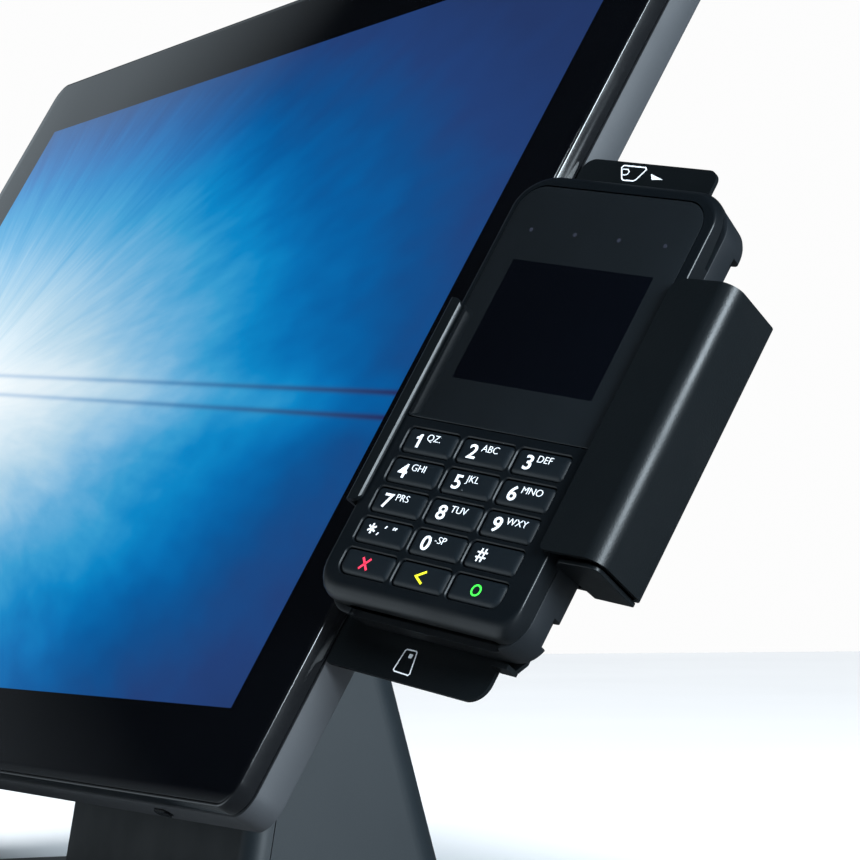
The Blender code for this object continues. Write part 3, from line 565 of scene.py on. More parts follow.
MATS = {
    "glass": (screen_glass(), "black_glass"),
    "gloss": (surface("gloss_trim", rgb(9, 10, 12), 0.13, grain=350, depth=0.000003, rough_vary=0.03),
              "gloss_black"),
    "silver": (surface("silver_paint", rgb(38, 40, 43), 0.6, 0.0, 1600, 0.000006, 0.05, 0.04,
                       speck=0.04, specular=0.25),
               "silver"),
    "stand": (surface("stand_plastic", rgb(19, 25, 29), 0.5, grain=1300, depth=0.00003, vary=0.06,
                      specular=0.3), "stand_grey"),
    "powder": (surface("powder_coat", rgb(9, 12, 14), 0.38, grain=1500, depth=0.00005, vary=0.12,
                       speck=0.04, specular=0.17), "powder_black"),
    "housing": (surface("terminal_plastic", rgb(6, 9, 12), 0.38, grain=2200, depth=0.00002, vary=0.08,
                        specular=0.3), "housing"),
    "rear": (surface("rear_plastic", rgb(11, 15, 19), 0.46, grain=2200, depth=0.00002, vary=0.08,
                     specular=0.4), "housing"),
    "lens": (terminal_lens(), "lens"),
    "key": (surface("key_plastic", rgb(11, 16, 20), 0.42, grain=2500, depth=0.000012, vary=0.06,
                    specular=0.35), "key"),
    "rubber": (surface("rubber", rgb(26, 26, 27), 0.85, grain=1800, depth=0.00006), "rubber"),
    "steel": (brushed("zinc_steel", rgb(176, 178, 180), 0.34, (1.0, 30.0, 1.0)), "steel"),
    "aluminium": (brushed("aluminium", rgb(198, 200, 204), 0.3, (30.0, 1.0, 1.0)), "aluminium"),
    "board": (circuit_board(), "board"),
    "panel": (surface("panel_metal", rgb(150, 156, 164), 0.32, 0.8, 300, 0.00001), "panel"),
    "module": (surface("module_shell", rgb(120, 122, 126), 0.45, 0.3, 900, 0.00002), "module"),
    "white": (surface("white_print", rgb(205, 209, 214), 0.5, grain=1500, depth=0.000004, vary=0.03), "key"),
    "red": (surface("red_print", rgb(228, 50, 76), 0.5, grain=1500, depth=0.000004, vary=0.04), "key"),
    "yellow": (surface("yellow_print", rgb(226, 220, 40), 0.5, grain=1500, depth=0.000004, vary=0.04), "key"),
    "green": (surface("green_print", rgb(60, 216, 66), 0.5, grain=1500, depth=0.000004, vary=0.04), "key"),
    "led": (surface("dark_led", rgb(34, 36, 44), 0.3, grain=900, depth=0.000004), "lens"),
}


# Stand ---------------------------------------------------------------------------------------

def base():
    def ring(inset, z):
        return at_z(centred(BASE_X, BASE_Y, inset, BASE_R, 14), z)
    edge = [ring(8, BASE_TOP - 2.2), ring(4.2, BASE_TOP - 4.4), ring(2.4, BASE_TOP - 7), ring(2.4, BASE_LOW),
            ring(0.4, BASE_LOW), ring(0.0, BASE_LOW + 0.4), ring(0.0, BASE_TOP - 6.0)]
    edge += [ring(9 - 9 * math.cos(a), BASE_TOP - 6 + 6 * math.sin(a)) for a in turns(15, 90, 15)]
    foot = block(-56, 56, -22, 68, BASE_TOP - 5, BASE_TOP + 5)
    piece("base_shell", loft(edge), MATS["stand"], "stand", WORLD, "base_cover", cut(foot))


def column_y(z, line):
    """Front or rear face of the column at height z."""
    t = (COLUMN_TOP - z) / (COLUMN_TOP - COLUMN_LOW)
    return line[0] + (line[1] - line[0]) * t


def column_section(z, rear, shrink=0.0):
    """U-shaped wall section of the rear or front cover at height z."""
    front_y, rear_y = column_y(z, COLUMN_FRONT), column_y(z, COLUMN_REAR)
    seam = front_y + 10.0
    w, t = COLUMN_X - shrink, COLUMN_WALL
    steps = 12
    if rear:
        y0, y1 = seam + GAP, rear_y - shrink
        r = min(COLUMN_CORNER, rear_y - seam - 4) - shrink
        outer = ([(w, y0)] + arc(w - r, y1 - r, r, 0, 90, steps) + arc(-w + r, y1 - r, r, 90, 180, steps)
                 + [(-w, y0)])
        inner = ([(-w + t, y0)] + arc(-w + r, y1 - r, r - t, 180, 90, steps)
                 + arc(w - r, y1 - r, r - t, 90, 0, steps) + [(w - t, y0)])
    else:
        r = 8.0 - shrink
        y0, y1 = seam, front_y + shrink
        outer = ([(-w, y0)] + arc(-w + r, y1 + r, r, 180, 270, steps)
                 + arc(w - r, y1 + r, r, 270, 360, steps) + [(w, y0)])
        inner = ([(w - t, y0)] + arc(w - r, y1 + r, r - t, 360, 270, steps)
                 + arc(-w + r, y1 + r, r - t, 270, 180, steps) + [(-w + t, y0)])
    return at_z(outer + inner, z)


def column():
    levels = ((COLUMN_LOW, 0.3), (COLUMN_LOW + 0.3, 0.0), (COLUMN_TOP - 0.5, 0.0), (COLUMN_TOP, 0.5))
    slope = (COLUMN_REAR[1] - COLUMN_REAR[0]) / (COLUMN_TOP - COLUMN_LOW)
    outward = Vector((0, 1, slope)).normalized()
    centre = Vector((0, column_y(OUTLET_Z, COLUMN_REAR), OUTLET_Z))
    outlet = rod(12.0, centre - outward * 8, centre + outward * 8, 48)
    slot = rounded(-17, 17, -1.1, 1.1, 1.09, 6)
    grooves = []
    for z in (112.0, 118.0, 124.0, 130.0, 136.0):
        for x in (-26.0, 26.0):
            middle = Vector((x, column_y(z, COLUMN_REAR), z))
            turn = Matrix.Translation(middle) @ outward.to_track_quat("Z", "Y").to_matrix().to_4x4()
            grooves.append(loft([[turn @ Vector((px, py, depth)) for px, py in slot] for depth in (-5, 5)]))
    rear, front = (loft([column_section(z, side, s) for z, s in levels]) for side in (True, False))
    piece("column_rear", rear, MATS["stand"], "stand", WORLD, "column_rear_cover",
          cut(outlet, merged(grooves)))
    piece("column_front", front, MATS["stand"], "stand", WORLD, "column_front_cover")

    turn = frame_between(centre, centre + outward)
    profile = ((9.0, -3.2), (9.0, 1.9), (9.5, 2.6), (13.6, 2.3), (14.6, 1.6), (15.0, GAP), (11.6, GAP),
               (11.6, -2.8), (11.2, -3.2))
    piece("outlet_grommet", turned(profile, turn), MATS["rubber"], "stand", WORLD, "cable_grommet")

    def lid(inset, z):
        r = 9 - inset
        return at_z(rounded(-COLUMN_X + inset, COLUMN_X - inset, COLUMN_FRONT[0] + inset,
                            COLUMN_REAR[0] - inset, r, 10), z)
    low = COLUMN_TOP + GAP
    top = [lid(inset, low + rise)
           for inset, rise in ((0.3, 0), (0.0, 0.3), (0.0, 1.2), (0.35, 1.95), (1.2, 2.4))]
    hole = prism(rounded(-50.5, 50.5, 15.2, 33.4, 1.5), COLUMN_TOP - 5, COLUMN_TOP + 8)
    piece("column_lid", loft(top), MATS["stand"], "stand", WORLD, "column_cap", cut(hole))


def hinge():
    y, z = HINGE.y / MM, HINGE.z / MM
    axis = frame_between((0, y, z), (1, y, z))

    def ring(inner, outer, x0, x1, edge):
        return turned(((inner, x0), (inner, x1), (outer - edge, x1), (outer, x1 - edge), (outer, x0 + edge),
                       (outer - edge, x0)), axis)
    piece("shaft", rod(6.0, (-61, y, z), (61, y, z), 48, 0.8), MATS["steel"], "stand", WORLD, "hinge_shaft")
    piece("barrel", ring(6.5, 10.5, -43.5, 43.5, 0.6), MATS["steel"], "stand", WORLD, "hinge_barrel")
    for name, sign in (("left", -1), ("right", 1)):
        a, b = sorted((sign * 49.35, sign * 50.75))
        piece(f"friction_washer_{name}", ring(6.3, 11.0, a, b, 0.2), MATS["module"], "stand", WORLD,
              f"hinge_washer_{name}")
        a, b = sorted((sign * 55.5, sign * 60.5))
        hexagon = [(11.0 * math.cos(k * math.pi / 3), 11.0 * math.sin(k * math.pi / 3)) for k in range(6)]
        nut = loft([[axis @ Vector((px, py, end)) for px, py in hexagon] for end in (a, b)])
        piece(f"lock_nut_{name}", nut, MATS["steel"], "stand", WORLD, f"hinge_nut_{name}",
              cut(rod(6.3, (a - 2, y, z), (b + 2, y, z), 48)), bevel=0.35)


# Display head --------------------------------------------------------------------------------

def head_ring(inset, z, steps=10):
    """Outline of the display head at a depth, drawn in from its widest edge."""
    return at_z(centred(HEAD_X, HEAD_Y, inset, HEAD_R, steps), z)


def button_outline(grow, round_grow):
    """The power button's edge seen from below, larger all round by grow."""
    w, h = (side / 2 + grow for side in BUTTON_SIZE)
    return rounded(BUTTON_X - w, BUTTON_X + w, BUTTON_Z - h, BUTTON_Z + h, 1.8 + round_grow)


def display_front():
    glass = [head_ring(1.35, -GLASS_T), head_ring(1.2, -2.6), head_ring(1.2, -0.45),
             head_ring(1.32, -0.14), head_ring(1.7, 0.0)]
    piece("cover_glass", loft(glass), MATS["glass"], "display", DISPLAY, "front_glass", smooth=30)
    nose = [head_ring(0.98, -0.2)]
    nose += [head_ring(0.75 - 0.55 * math.sin(a), -0.75 + 0.55 * math.cos(a)) for a in turns(0, 90, 15)]
    nose += [head_ring(0.2 * ((z - TRIM_CREST) / 2.95) ** 2, z)
             for z in (-1.2, -1.7, -2.2, -2.7, -3.2, TRIM_CREST)]
    tail = [head_ring(0.25 * ((z - TRIM_CREST) / 2.6) ** 2, z) for z in (-4.2, -4.7, -5.2, -5.8)]
    tail += [head_ring(0.35, -6.3), head_ring(0.8, TRIM_BACK), head_ring(9.0, TRIM_BACK),
             head_ring(9.0, -GLASS_T - GAP), head_ring(1.02, -GLASS_T - GAP)]
    piece("trim", loft(nose + tail, cyclic=True), MATS["gloss"], "display", DISPLAY, "front_bezel", smooth=35)

    front = TRIM_BACK - 0.3
    band = loft([head_ring(0.3, front), head_ring(0.08, front - 0.08), head_ring(0.0, front - 0.3),
                 head_ring(0.0, FRAME_BACK + 0.6), head_ring(0.2, FRAME_BACK + 0.2),
                 head_ring(0.6, FRAME_BACK), head_ring(1.9, FRAME_BACK), head_ring(1.9, front)], cyclic=True)
    hole = cross_prism(button_outline(0.45, 0.4), -HEAD_Y - 3, -HEAD_Y + 4)
    piece("side_band", band, MATS["silver"], "display", DISPLAY, "side_frame", cut(hole), smooth=35)


def rear_shell():
    x0, x1, y0, y1 = BULGE

    def bulge(grow, z, radius):
        return at_z(rounded(x0 - grow, x1 + grow, y0 - grow, y1 + grow, radius, 10), z)
    inner_face = COVER_FACE + 2.2
    profile = [bulge(-16, BULGE_BACK + 2.4, 12), bulge(-7.5, BULGE_BACK + 6.5, 16),
               bulge(-2.5, inner_face, 20), head_ring(2.25, inner_face),
               head_ring(2.25, COVER_FACE + 0.4), head_ring(2.6, COVER_FACE), bulge(3, COVER_FACE, 24),
               bulge(1.2, COVER_FACE - 0.5, 23), bulge(0, COVER_FACE - 2, 22), bulge(-5, BULGE_BACK + 5, 18),
               bulge(-6.3, BULGE_BACK + 2.9, 17), bulge(-9, BULGE_BACK + 1.2, 15),
               bulge(-11.5, BULGE_BACK + 0.3, 13.5), bulge(-14, BULGE_BACK, 12)]
    slots = [prism(rounded(x - 1.4, x + 1.4, 62, 92, 1.39, 6), BULGE_BACK - 4, BULGE_BACK + 8)
             for x in VENT_X]
    slots += [prism(rounded(x - 3.5, x + 3.5, low, low + 2.0, 0.99, 5), BULGE_BACK - 4, BULGE_BACK + 1.0)
              for x in VENT_X for low in (99.0, 103.5)]
    holes = merged([bores(BRACKET_SCREWS, BULGE_BACK - 5, BULGE_BACK + 6),
                    bores(ARM_SCREWS, COVER_FACE - 4, COVER_FACE + 5)])
    label = prism(rounded(*LABEL, 2.5, 6), BULGE_BACK - 3, BULGE_BACK + 0.4)
    sinks = bores(SINKS, BULGE_BACK - 5, BULGE_BACK + 1.4, 5.2, 32)
    piece("rear_shell", loft(profile), MATS["stand"], "display", DISPLAY, "rear_cover",
          cut(merged(slots), holes, label, sinks), smooth=30)
    x0, x1, y0, y1 = LABEL
    plate = prism(rounded(x0 + 0.4, x1 - 0.4, y0 + 0.4, y1 - 0.4, 2.2, 6),
                  BULGE_BACK - 0.05, BULGE_BACK + 0.32)
    piece("blank_label", plate, MATS["aluminium"], "display", DISPLAY)
    for i, (x, y) in enumerate(SINKS, 1):
        screw(f"case_screw_{i}", x, y, BULGE_BACK + 0.6, BULGE_BACK + 1.3, 3.6)

    top = BULGE_BACK - GAP
    levels = ((0.0, 6, 0.0), (0.0, 6, 2.0), (0.6, 5.5, 3.0), (1.8, 5.2, 3.7), (3.0, 5, 4.0))
    lid = loft([at_z(rounded(-118 + inset, 118 - inset, -100 + inset, -68 - inset, r), top - rise)
                for inset, r, rise in levels])
    grips = [prism(rounded(x - 0.9, x + 0.9, -93, -75, 0.89, 5), top - 6, top - 3.3)
             for x in [s * (88 + 3.6 * k) for s in (-1, 1) for k in range(6)]]
    piece("socket_cover", lid, MATS["stand"], "display", DISPLAY, "cable_cover", cut(merged(grips)))


def display_button():
    y = -HEAD_Y
    dot = rod(0.7, (BUTTON_X, y - 2, BUTTON_Z), (BUTTON_X, y - 0.7, BUTTON_Z), 20)
    key = cross_prism(button_outline(0.0, 0.0), y - 0.9, y + 3.2)
    piece("power_key", key, MATS["gloss"], "power_button", DISPLAY, "power_button", cut(dot), bevel=0.25)


def screw(name, x, y, seat, tip, radius=3.8, replaces=()):
    """Pan head screw with a cross recess: seat is the underside of its head, tip the end of its thread."""
    place = Matrix.Translation((x, y, 0))
    drop = radius / 3.8
    rim = seat - 0.7 * drop
    profile = [(0.01, tip), (radius / 2, tip), (radius / 2, seat), (radius, seat), (radius, rim)]
    profile += [(radius * math.cos(a), rim - 1.7 * drop * math.sin(a)) for a in turns(15, 75, 15)]
    profile.append((0.01, seat - 2.4 * drop))
    arms = [block(x - a, x + a, y - b, y + b, seat - 4, seat - 1.1 * drop)
            for a, b in ((0.45, radius * 0.5), (radius * 0.5, 0.45))]
    piece(name, turned(profile, place, 32), MATS["steel"], "display", DISPLAY, replaces, cut(*arms))


def screws():
    face = BULGE_BACK - GAP
    for i, (x, y) in enumerate(BRACKET_SCREWS, 1):
        screw(f"mounting_screw_{i}", x, y, face - 3 - GAP, face + 3.5, 3.8, f"bracket_screw_{i}")
    seat = COVER_FACE - GAP - 0.2 - SHEET - GAP
    for i, (x, y) in enumerate(ARM_SCREWS, 1):
        screw(f"cradle_screw_{i}", x, y, seat, COVER_FACE + 2.6, 3.8, f"arm_screw_{i}")


# Cradle --------------------------------------------------------------------------------------

def corner_cut(x0, y0, sx, sy, radius, z0, z1):
    """Cutter that rounds the corner at x0, y0 of a sheet that lies towards sx, sy of it."""
    cx, cy = x0 + sx * radius, y0 + sy * radius
    curve = [(cx - sx * radius * math.cos(a), cy - sy * radius * math.sin(a)) for a in turns(0, 90, 9)]
    return prism([(x0 - sx, y0 - sy), (x0 - sx, cy)] + curve + [(cx, y0 - sy)], z0, z1)


def cradle_plate():
    back = PLATE_FACE - SHEET
    outline = (arc(8.4, 69.1, 4.0, 0, 90, 10) + arc(-38.6, 68.1, 5.0, 90, 180, 10)
               + [(PLATE_LEFT, -112.0), (PLATE_LEFT + 0.8, -113.0)] + arc(15.5, -106.0, 7.0, -90, 0, 12)
               + [(22.5, -100.6), (STOP_LIP[1], -100.6), (31.5, -97.5), (31.5, WRAP[0]), (59.0, WRAP[0])]
               + [(59.0, WRAP[1]), (12.4, WRAP[1])])
    mid = PLATE_FACE - SHEET / 2
    wrap_path = bent_path([(56.0, mid), (60.1, mid), (61.9, 2.9), (38.5, 1.4)], (2.2, 4.8), 14)
    clip = [(PLATE_LEFT + 6.0, mid), (PLATE_LEFT + 0.85, mid), (-43.9, 1.55), (-38.7, 1.35)]
    clip_path = bent_path(clip, (1.5, 1.6), 8)
    clip_edge = cross_prism([(-39.62, 2.86), (-38.21, 0.67), (-37.5, 0.67), (-37.5, 2.86)],
                            CLIP[0] - 1, CLIP[1] + 1)
    upper, lower = STOP_LIP[2], STOP_LIP[2] - SHEET
    front = PLATE_FACE + STOP_LIP[3]
    lip = [(upper, back + 0.2), (upper, front), (lower, front), (lower, back + 0.2)]
    cable_slot = prism(rounded(46.5, 55.5, -40, -12, 4.4), back - 2, PLATE_FACE + 2)
    steps = [
        ("UNION", cross_prism(strip(wrap_path, SHEET), *WRAP)),
        ("UNION", cross_prism(strip(clip_path, SHEET), *CLIP)),
        ("UNION", side_prism(lip, *STOP_LIP[:2])),
        ("UNION", block(*STOP_LIP[:2], lower, -98.0, back + 0.15, PLATE_FACE - 0.2)),
    ] + cut(cable_slot, corner_cut(38.45, WRAP[1], 1, -1, 4.5, -4, 6),
            corner_cut(38.45, WRAP[0], 1, 1, 2.0, -4, 6), clip_edge,
            corner_cut(-38.65, CLIP[1], -1, -1, 3.0, -2, 6), corner_cut(-38.65, CLIP[0], -1, 1, 3.0, -2, 6))
    piece("cradle_sheet", prism(outline, back, PLATE_FACE), MATS["powder"], "display", TERMINAL,
          "cradle_plate", steps, bevel=0.3, segments=3)


def wrap_end_tab():
    y1 = WRAP[0] - GAP
    outline = ([(43.5, PLATE_FACE - SHEET + 0.3), (58.6, PLATE_FACE - SHEET + 0.3)]
               + [(60.6, -2.2), (59.7, -0.4), (57.6, 0.6), (45.2, -0.5), (42.6, -3.0)])
    piece("wrap_end_tab", cross_prism(outline, y1 - SHEET, y1), MATS["powder"], "display", TERMINAL,
          "wrap_end_cap", bevel=0.35, segments=3)


def cradle_arm():
    yaw = math.radians(TERMINAL_YAW)
    thick = SHEET

    def from_plate(u, n):
        return (TERM_X + u * math.cos(yaw) + n * math.sin(yaw), -u * math.sin(yaw) + n * math.cos(yaw))
    leg = PLATE_FACE - SHEET - GAP - thick / 2
    side = HEAD_X + 0.42 + thick / 2
    rim = COVER_FACE - GAP - 0.2 - thick / 2
    a, b = from_plate(-30.0, leg), from_plate(-20.0, leg)
    corner = (side, a[1] + (side - a[0]) * (b[1] - a[1]) / (b[0] - a[0]))
    low, high = (TERM_V + y for y in ARM_RANGE)
    x0, middle = ARM_SCREWS[0][0] - 12, (low + high) / 2
    path = bent_path([from_plate(-14.0, leg), corner, (side, rim), (x0, rim)], (1.0, 2.0), 8)
    through = (rim - 4, rim + 4)
    window = prism(rounded(x0 + 20, x0 + 40, middle - 18, middle + 18, 5), *through)
    steps = cut(bores(ARM_SCREWS, *through), window, corner_cut(x0, low, 1, 1, 6, *through),
                corner_cut(x0, high, 1, -1, 6, *through))
    piece("cradle_bracket", cross_prism(strip(path, thick), low, high), MATS["powder"], "display", DISPLAY,
          "cradle_arm", steps, bevel=0.3, segments=2)


def pictograms():
    """Generic card signs printed on the cradle: swipe at the top, chip card at the bottom."""
    z0, z1 = PLATE_FACE + 0.01, PLATE_FACE + 0.05
    swipe = [(-26.6, 71.7), (-17.5, 71.7), (-16.8, 71.0), (-19.0, 66.9), (-19.8, 66.4), (-24.0, 66.3),
             (-24.9, 66.8), (-27.2, 70.9)]
    finger = [(-26.4, 70.3), (-24.2, 70.4), (-23.3, 69.6), (-23.5, 68.6), (-24.4, 68.2), (-25.3, 68.3)]
    arrow = prism([(-14.1, 69.6), (-8.2, 67.9), (-12.7, 67.5)], z0, z1)
    sign = merged([ribbon(swipe, 0.45, z0, z1), ribbon(finger, 0.35, z0, z1, closed=False), arrow])
    piece("swipe_pictogram", sign, MATS["white"], "display", TERMINAL)
    card = [(-14.9, -102.9), (-14.4, -102.5), (-10.6, -102.4), (-10.1, -102.8), (-8.8, -109.7),
            (-9.3, -110.3), (-15.2, -110.1), (-15.8, -109.6)]
    chip = prism(rounded(-12.6, -11.1, -105.0, -103.6, 0.3, 3), z0, z1)
    sign = merged([ribbon(card, 0.42, z0, z1), chip])
    piece("chip_card_pictogram", sign, MATS["white"], "display", TERMINAL)


# Terminal ------------------------------------------------------------------------------------

def shoulder(depth, radius):
    """How far a rounded edge stands back at a depth under the face."""
    if depth >= radius:
        return 0.0
    return radius - math.sqrt(radius ** 2 - (radius - depth) ** 2)


def terminal_outline(left, right, top, bottom, low_radius=0.0):
    """Outline with its sides set back by left, right and top, and its lower end at bottom.

    The lower corners are cut off slantwise, or round if low_radius is given.
    """
    x0, x1 = TERM_LEFT + left, TERM_RIGHT - right
    cx0, cx1, cy = TERM_LEFT + TERM_CORNER, TERM_RIGHT - TERM_CORNER, TERM_TOP - TERM_CORNER
    quarter = turns(0, 90, 6)
    high = TERM_CORNER - top
    corners = [(cx1 + (x1 - cx1) * math.cos(a), cy + high * math.sin(a)) for a in quarter]
    corners += [(cx0 - (cx0 - x0) * math.sin(a), cy + high * math.cos(a)) for a in quarter]
    y0 = bottom
    if low_radius:
        return (arc(x1 - low_radius, y0 + low_radius, low_radius, -90, 0, 12) + corners
                + arc(x0 + low_radius, y0 + low_radius, low_radius, 180, 270, 12))
    right_end = [(x0 + 9, y0), (x1 - 6.6, y0), (x1 - 4.6, y0 + 0.25), (x1 - 3.0, y0 + 1.1),
                 (x1 - 1.6, y0 + 2.7), (x1 - 0.7, y0 + 4.7), (x1 - 0.15, y0 + 6.6), (x1, y0 + 8.2)]
    left_end = [(x0, y0 + 8.2), (x0 + 0.3, y0 + 6.2), (x0 + 1.2, y0 + 4.2), (x0 + 2.8, y0 + 2.2),
                (x0 + 5.2, y0 + 0.7)]
    return right_end + corners + left_end


def front_housing():
    def inside(inset, z, bottom):
        return at_z(terminal_outline(inset, inset, inset, bottom), z)

    def outside(angle):
        turn = math.radians(angle)
        depth = ROLL[1] * (1 - math.sin(turn))
        sides = [shoulder(depth, radius) for radius in SHOULDER]
        return at_z(terminal_outline(*sides, ROLL_BOTTOM + ROLL[0] * (1 - math.cos(turn))), FACE - depth)
    angles = list(range(0, 56, 8)) + [60, 64, 68, 72, 76, 80, 84, 87, 90]
    shell = [inside(3.0, FACE - 2.8, ROLL_BOTTOM + 5.8), inside(2.4, SPLIT, ROLL_BOTTOM + 2.6),
             inside(0.6, SPLIT, ROLL_BOTTOM + 0.4), inside(0.25, SPLIT + 0.3, ROLL_BOTTOM + 0.1),
             inside(0.15, SPLIT + 1.0, ROLL_BOTTOM)] + [outside(angle) for angle in angles]
    x0, x1, y0, y1 = LENS
    pocket = prism(rounded(x0 - 0.3, x1 + 0.3, y0 - 0.3, y1 + 0.1, (1.5, 9.6, 9.6, 1.5), 12), -1.9, 3.0)
    window = block(-WINDOW[0] / 2 - 1, WINDOW[0] / 2 + 1, -WINDOW[1] / 2 - 1, WINDOW[1] / 2 + 1, -6, 1)
    w, h = KEY_W + GAP, KEY_H + GAP
    cells = []
    for row, v in enumerate(KEY_V):
        for column_index, u in enumerate(KEY_U):
            radii = [r + GAP for r in key_radii(row, column_index)]
            flare = 0.35
            outer = rounded(u - w - flare, u + w + flare, v - h - flare, v + h + flare,
                            [r + flare for r in radii], 8)
            inner = rounded(u - w, u + w, v - h, v + h, radii, 8)
            cells.append(loft([at_z(inner, -5), at_z(inner, FACE - flare), at_z(outer, FACE + 0.02),
                               at_z(outer, 3)]))
    slot = rounded(CARD_SLOT[0], CARD_SLOT[1], SPLIT - 2, CARD_SLOT_FRONT, 1.6, 8)
    floor_u, low_v, narrow, wide = SWIPE_SLOT
    swipe = side_prism([(low_v, SPLIT - 1), (low_v, SPLIT + narrow), (TERM_TOP + 3, SPLIT + wide),
                        (TERM_TOP + 3, SPLIT - 1)], floor_u, TERM_RIGHT + 3)
    card = cross_prism(slot, ROLL_BOTTOM - 3, ROLL_BOTTOM + 8)
    piece("front_shell", loft(shell), MATS["housing"], "terminal", TERMINAL, "terminal_front_housing",
          cut(pocket, window, merged(cells), card, swipe), smooth=28)


def rear_housing():
    top = SPLIT - GAP
    seam, back = REAR_INSET
    deep = back - seam

    def ring(grow, z):
        inset = seam + grow
        return at_z(terminal_outline(inset, inset, inset, LIP_BOTTOM + grow, 11.0 - grow), z)
    edge = 3.4
    shell = [ring(deep + 3.8, TERM_BACK + 2.2), ring(deep + 2.2, TERM_BACK + 5), ring(2.0, top),
             ring(0.35, top), ring(0.1, top - 0.12), ring(0.0, top - 0.4), ring(deep, TERM_BACK + edge)]
    shell += [ring(deep + edge - edge * math.cos(a), TERM_BACK + edge - edge * math.sin(a))
              for a in turns(18, 90, 18)]
    card = rounded(CARD_SLOT[0], CARD_SLOT[1], CARD_SLOT_REAR, top + 3, 1.2, 8)
    slot = cross_prism(card, LIP_BOTTOM - 2, LIP_BOTTOM + 5)
    notches = [block(TERM_RIGHT - 6.0, TERM_RIGHT + 3, low, low + 9.0, TERM_BACK - 2, -16.0)
               for low in (31.0, -93.0)]
    places = [(x, y) for x in (-28.0, 28.0) for y in (-80.0, 34.0)]
    feet = bores(places, TERM_BACK - 3, TERM_BACK + 0.8, 3.6, 32)
    piece("rear_housing", loft(shell), MATS["rear"], "terminal", TERMINAL, "terminal_rear_housing",
          cut(slot, merged(notches), feet), smooth=30)
    pads = [rod(3.3, (x, y, TERM_BACK + 0.15), (x, y, TERM_BACK + 0.78), 32, 0.15) for x, y in places]
    piece("rear_pads", merged(pads), MATS["rubber"], "terminal", TERMINAL)


def lens():
    x0, x1, y0, y1 = LENS

    def ring(inset, z):
        r = [max(r - inset, 0.3) for r in (1.2, 9.3, 9.3, 1.2)]
        return at_z(rounded(x0 + inset, x1 - inset, y0 + inset, y1 - 0.3 - inset, r, 12), z)
    glass = loft([ring(0.1, -1.55), ring(0, -1.4), ring(0, -0.4), ring(0.12, -0.12), ring(0.4, 0.0)])
    piece("lens", glass, MATS["lens"], "terminal", TERMINAL, "display_lens", smooth=30)
    dots = [rod(0.75, (u, 32.6, 0.005), (u, 32.6, 0.03), 20) for u in (-27.8, -9.4, 8.7, 27.2)]
    piece("status_lights", merged(dots), MATS["led"], "terminal", TERMINAL)


# Keys ----------------------------------------------------------------------------------------

KEYS = (
    (("1", "QZ."), ("2", "ABC"), ("3", "DEF")),
    (("4", "GHI"), ("5", "JKL"), ("6", "MNO")),
    (("7", "PRS"), ("8", "TUV"), ("9", "WXY")),
    (("star", ""), ("0", "-SP"), ("hash", "")),
    (("cancel", ""), ("clear", ""), ("enter", "")),
)
DIGIT_U, LETTER_U = -4.6, -1.6   # places of the digit's centre and the letters' left edge on a key
CAPITAL = 0.69                   # height of a capital in the font, for a size of 1
ONE = ((-0.15, -2.3), (0.85, -2.3), (0.85, 2.3), (0.1, 2.3), (-0.45, 1.6), (-1.25, 1.25), (-1.25, 0.55),
       (-0.15, 0.75))            # outline of the digit 1


def key_radii(row, column_index):
    """Corner radii of a key; the outer lower corners of the last row are wider."""
    radii = [1.5, 1.5, 1.5, 1.5]
    if row == len(KEY_V) - 1 and column_index == 2:
        radii[0] = 3.4
    if row == len(KEY_V) - 1 and column_index == 0:
        radii[3] = 3.4
    return radii


def key_drop(inset):
    """How far the pillow-shaped key top lies under its middle, at a distance from its edge."""
    t = max(0.0, 1 - inset / 2.6)
    return 1.0 * t ** 3.2 + 0.05 * max(0.0, 1 - inset / KEY_H)


def key_cap(u, v, radii):
    def ring(inset, z):
        inner = [max(r - inset, 0.25) for r in radii]
        return at_z(rounded(u - KEY_W + inset, u + KEY_W - inset, v - KEY_H + inset, v + KEY_H - inset,
                            inner, 8), z)
    insets = (0.0, 0.06, 0.18, 0.36, 0.62, 0.95, 1.4, 2.0, 2.8, 3.8)
    return loft([ring(0.0, KEY_TOP - KEY_DEPTH)] + [ring(i, KEY_TOP - key_drop(i)) for i in insets])


def text_mesh(words, height, left, base, stroke, squeeze=1.0, centred=False):
    """Letters as a flat mesh in millimetres; height is that of a capital."""
    curve = bpy.data.curves.new("words", "FONT")
    curve.body = words
    curve.size = 1.0
    curve.offset = stroke
    curve.resolution_u = 6
    obj = bpy.data.objects.new("words", curve)
    bpy.context.scene.collection.objects.link(obj)
    bpy.context.view_layer.update()
    mesh = bpy.data.meshes.new_from_object(obj.evaluated_get(bpy.context.evaluated_depsgraph_get()))
    bpy.data.objects.remove(obj)
    bm = bmesh.new()
    bm.from_mesh(mesh)
    bpy.data.meshes.remove(mesh)
    scale = height / CAPITAL
    low = min(p.co.x for p in bm.verts)
    high = max(p.co.x for p in bm.verts)
    shift = (low + high) / 2 if centred else low
    for p in bm.verts:
        p.co = Vector(((p.co.x - shift) * scale * squeeze + left, p.co.y * scale + base, 0))
    return bm


def raised(bm, u, v):
    """Give flat lettering a little thickness, on top of the key at u, v."""
    skin = bmesh.ops.extrude_face_region(bm, geom=bm.faces[:])
    upper = {p for p in skin["geom"] if isinstance(p, bmesh.types.BMVert)}
    for p in bm.verts:
        p.co = Vector((p.co.x + u, p.co.y + v, KEY_TOP + (PRINT if p in upper else -PRINT)))
    return bm


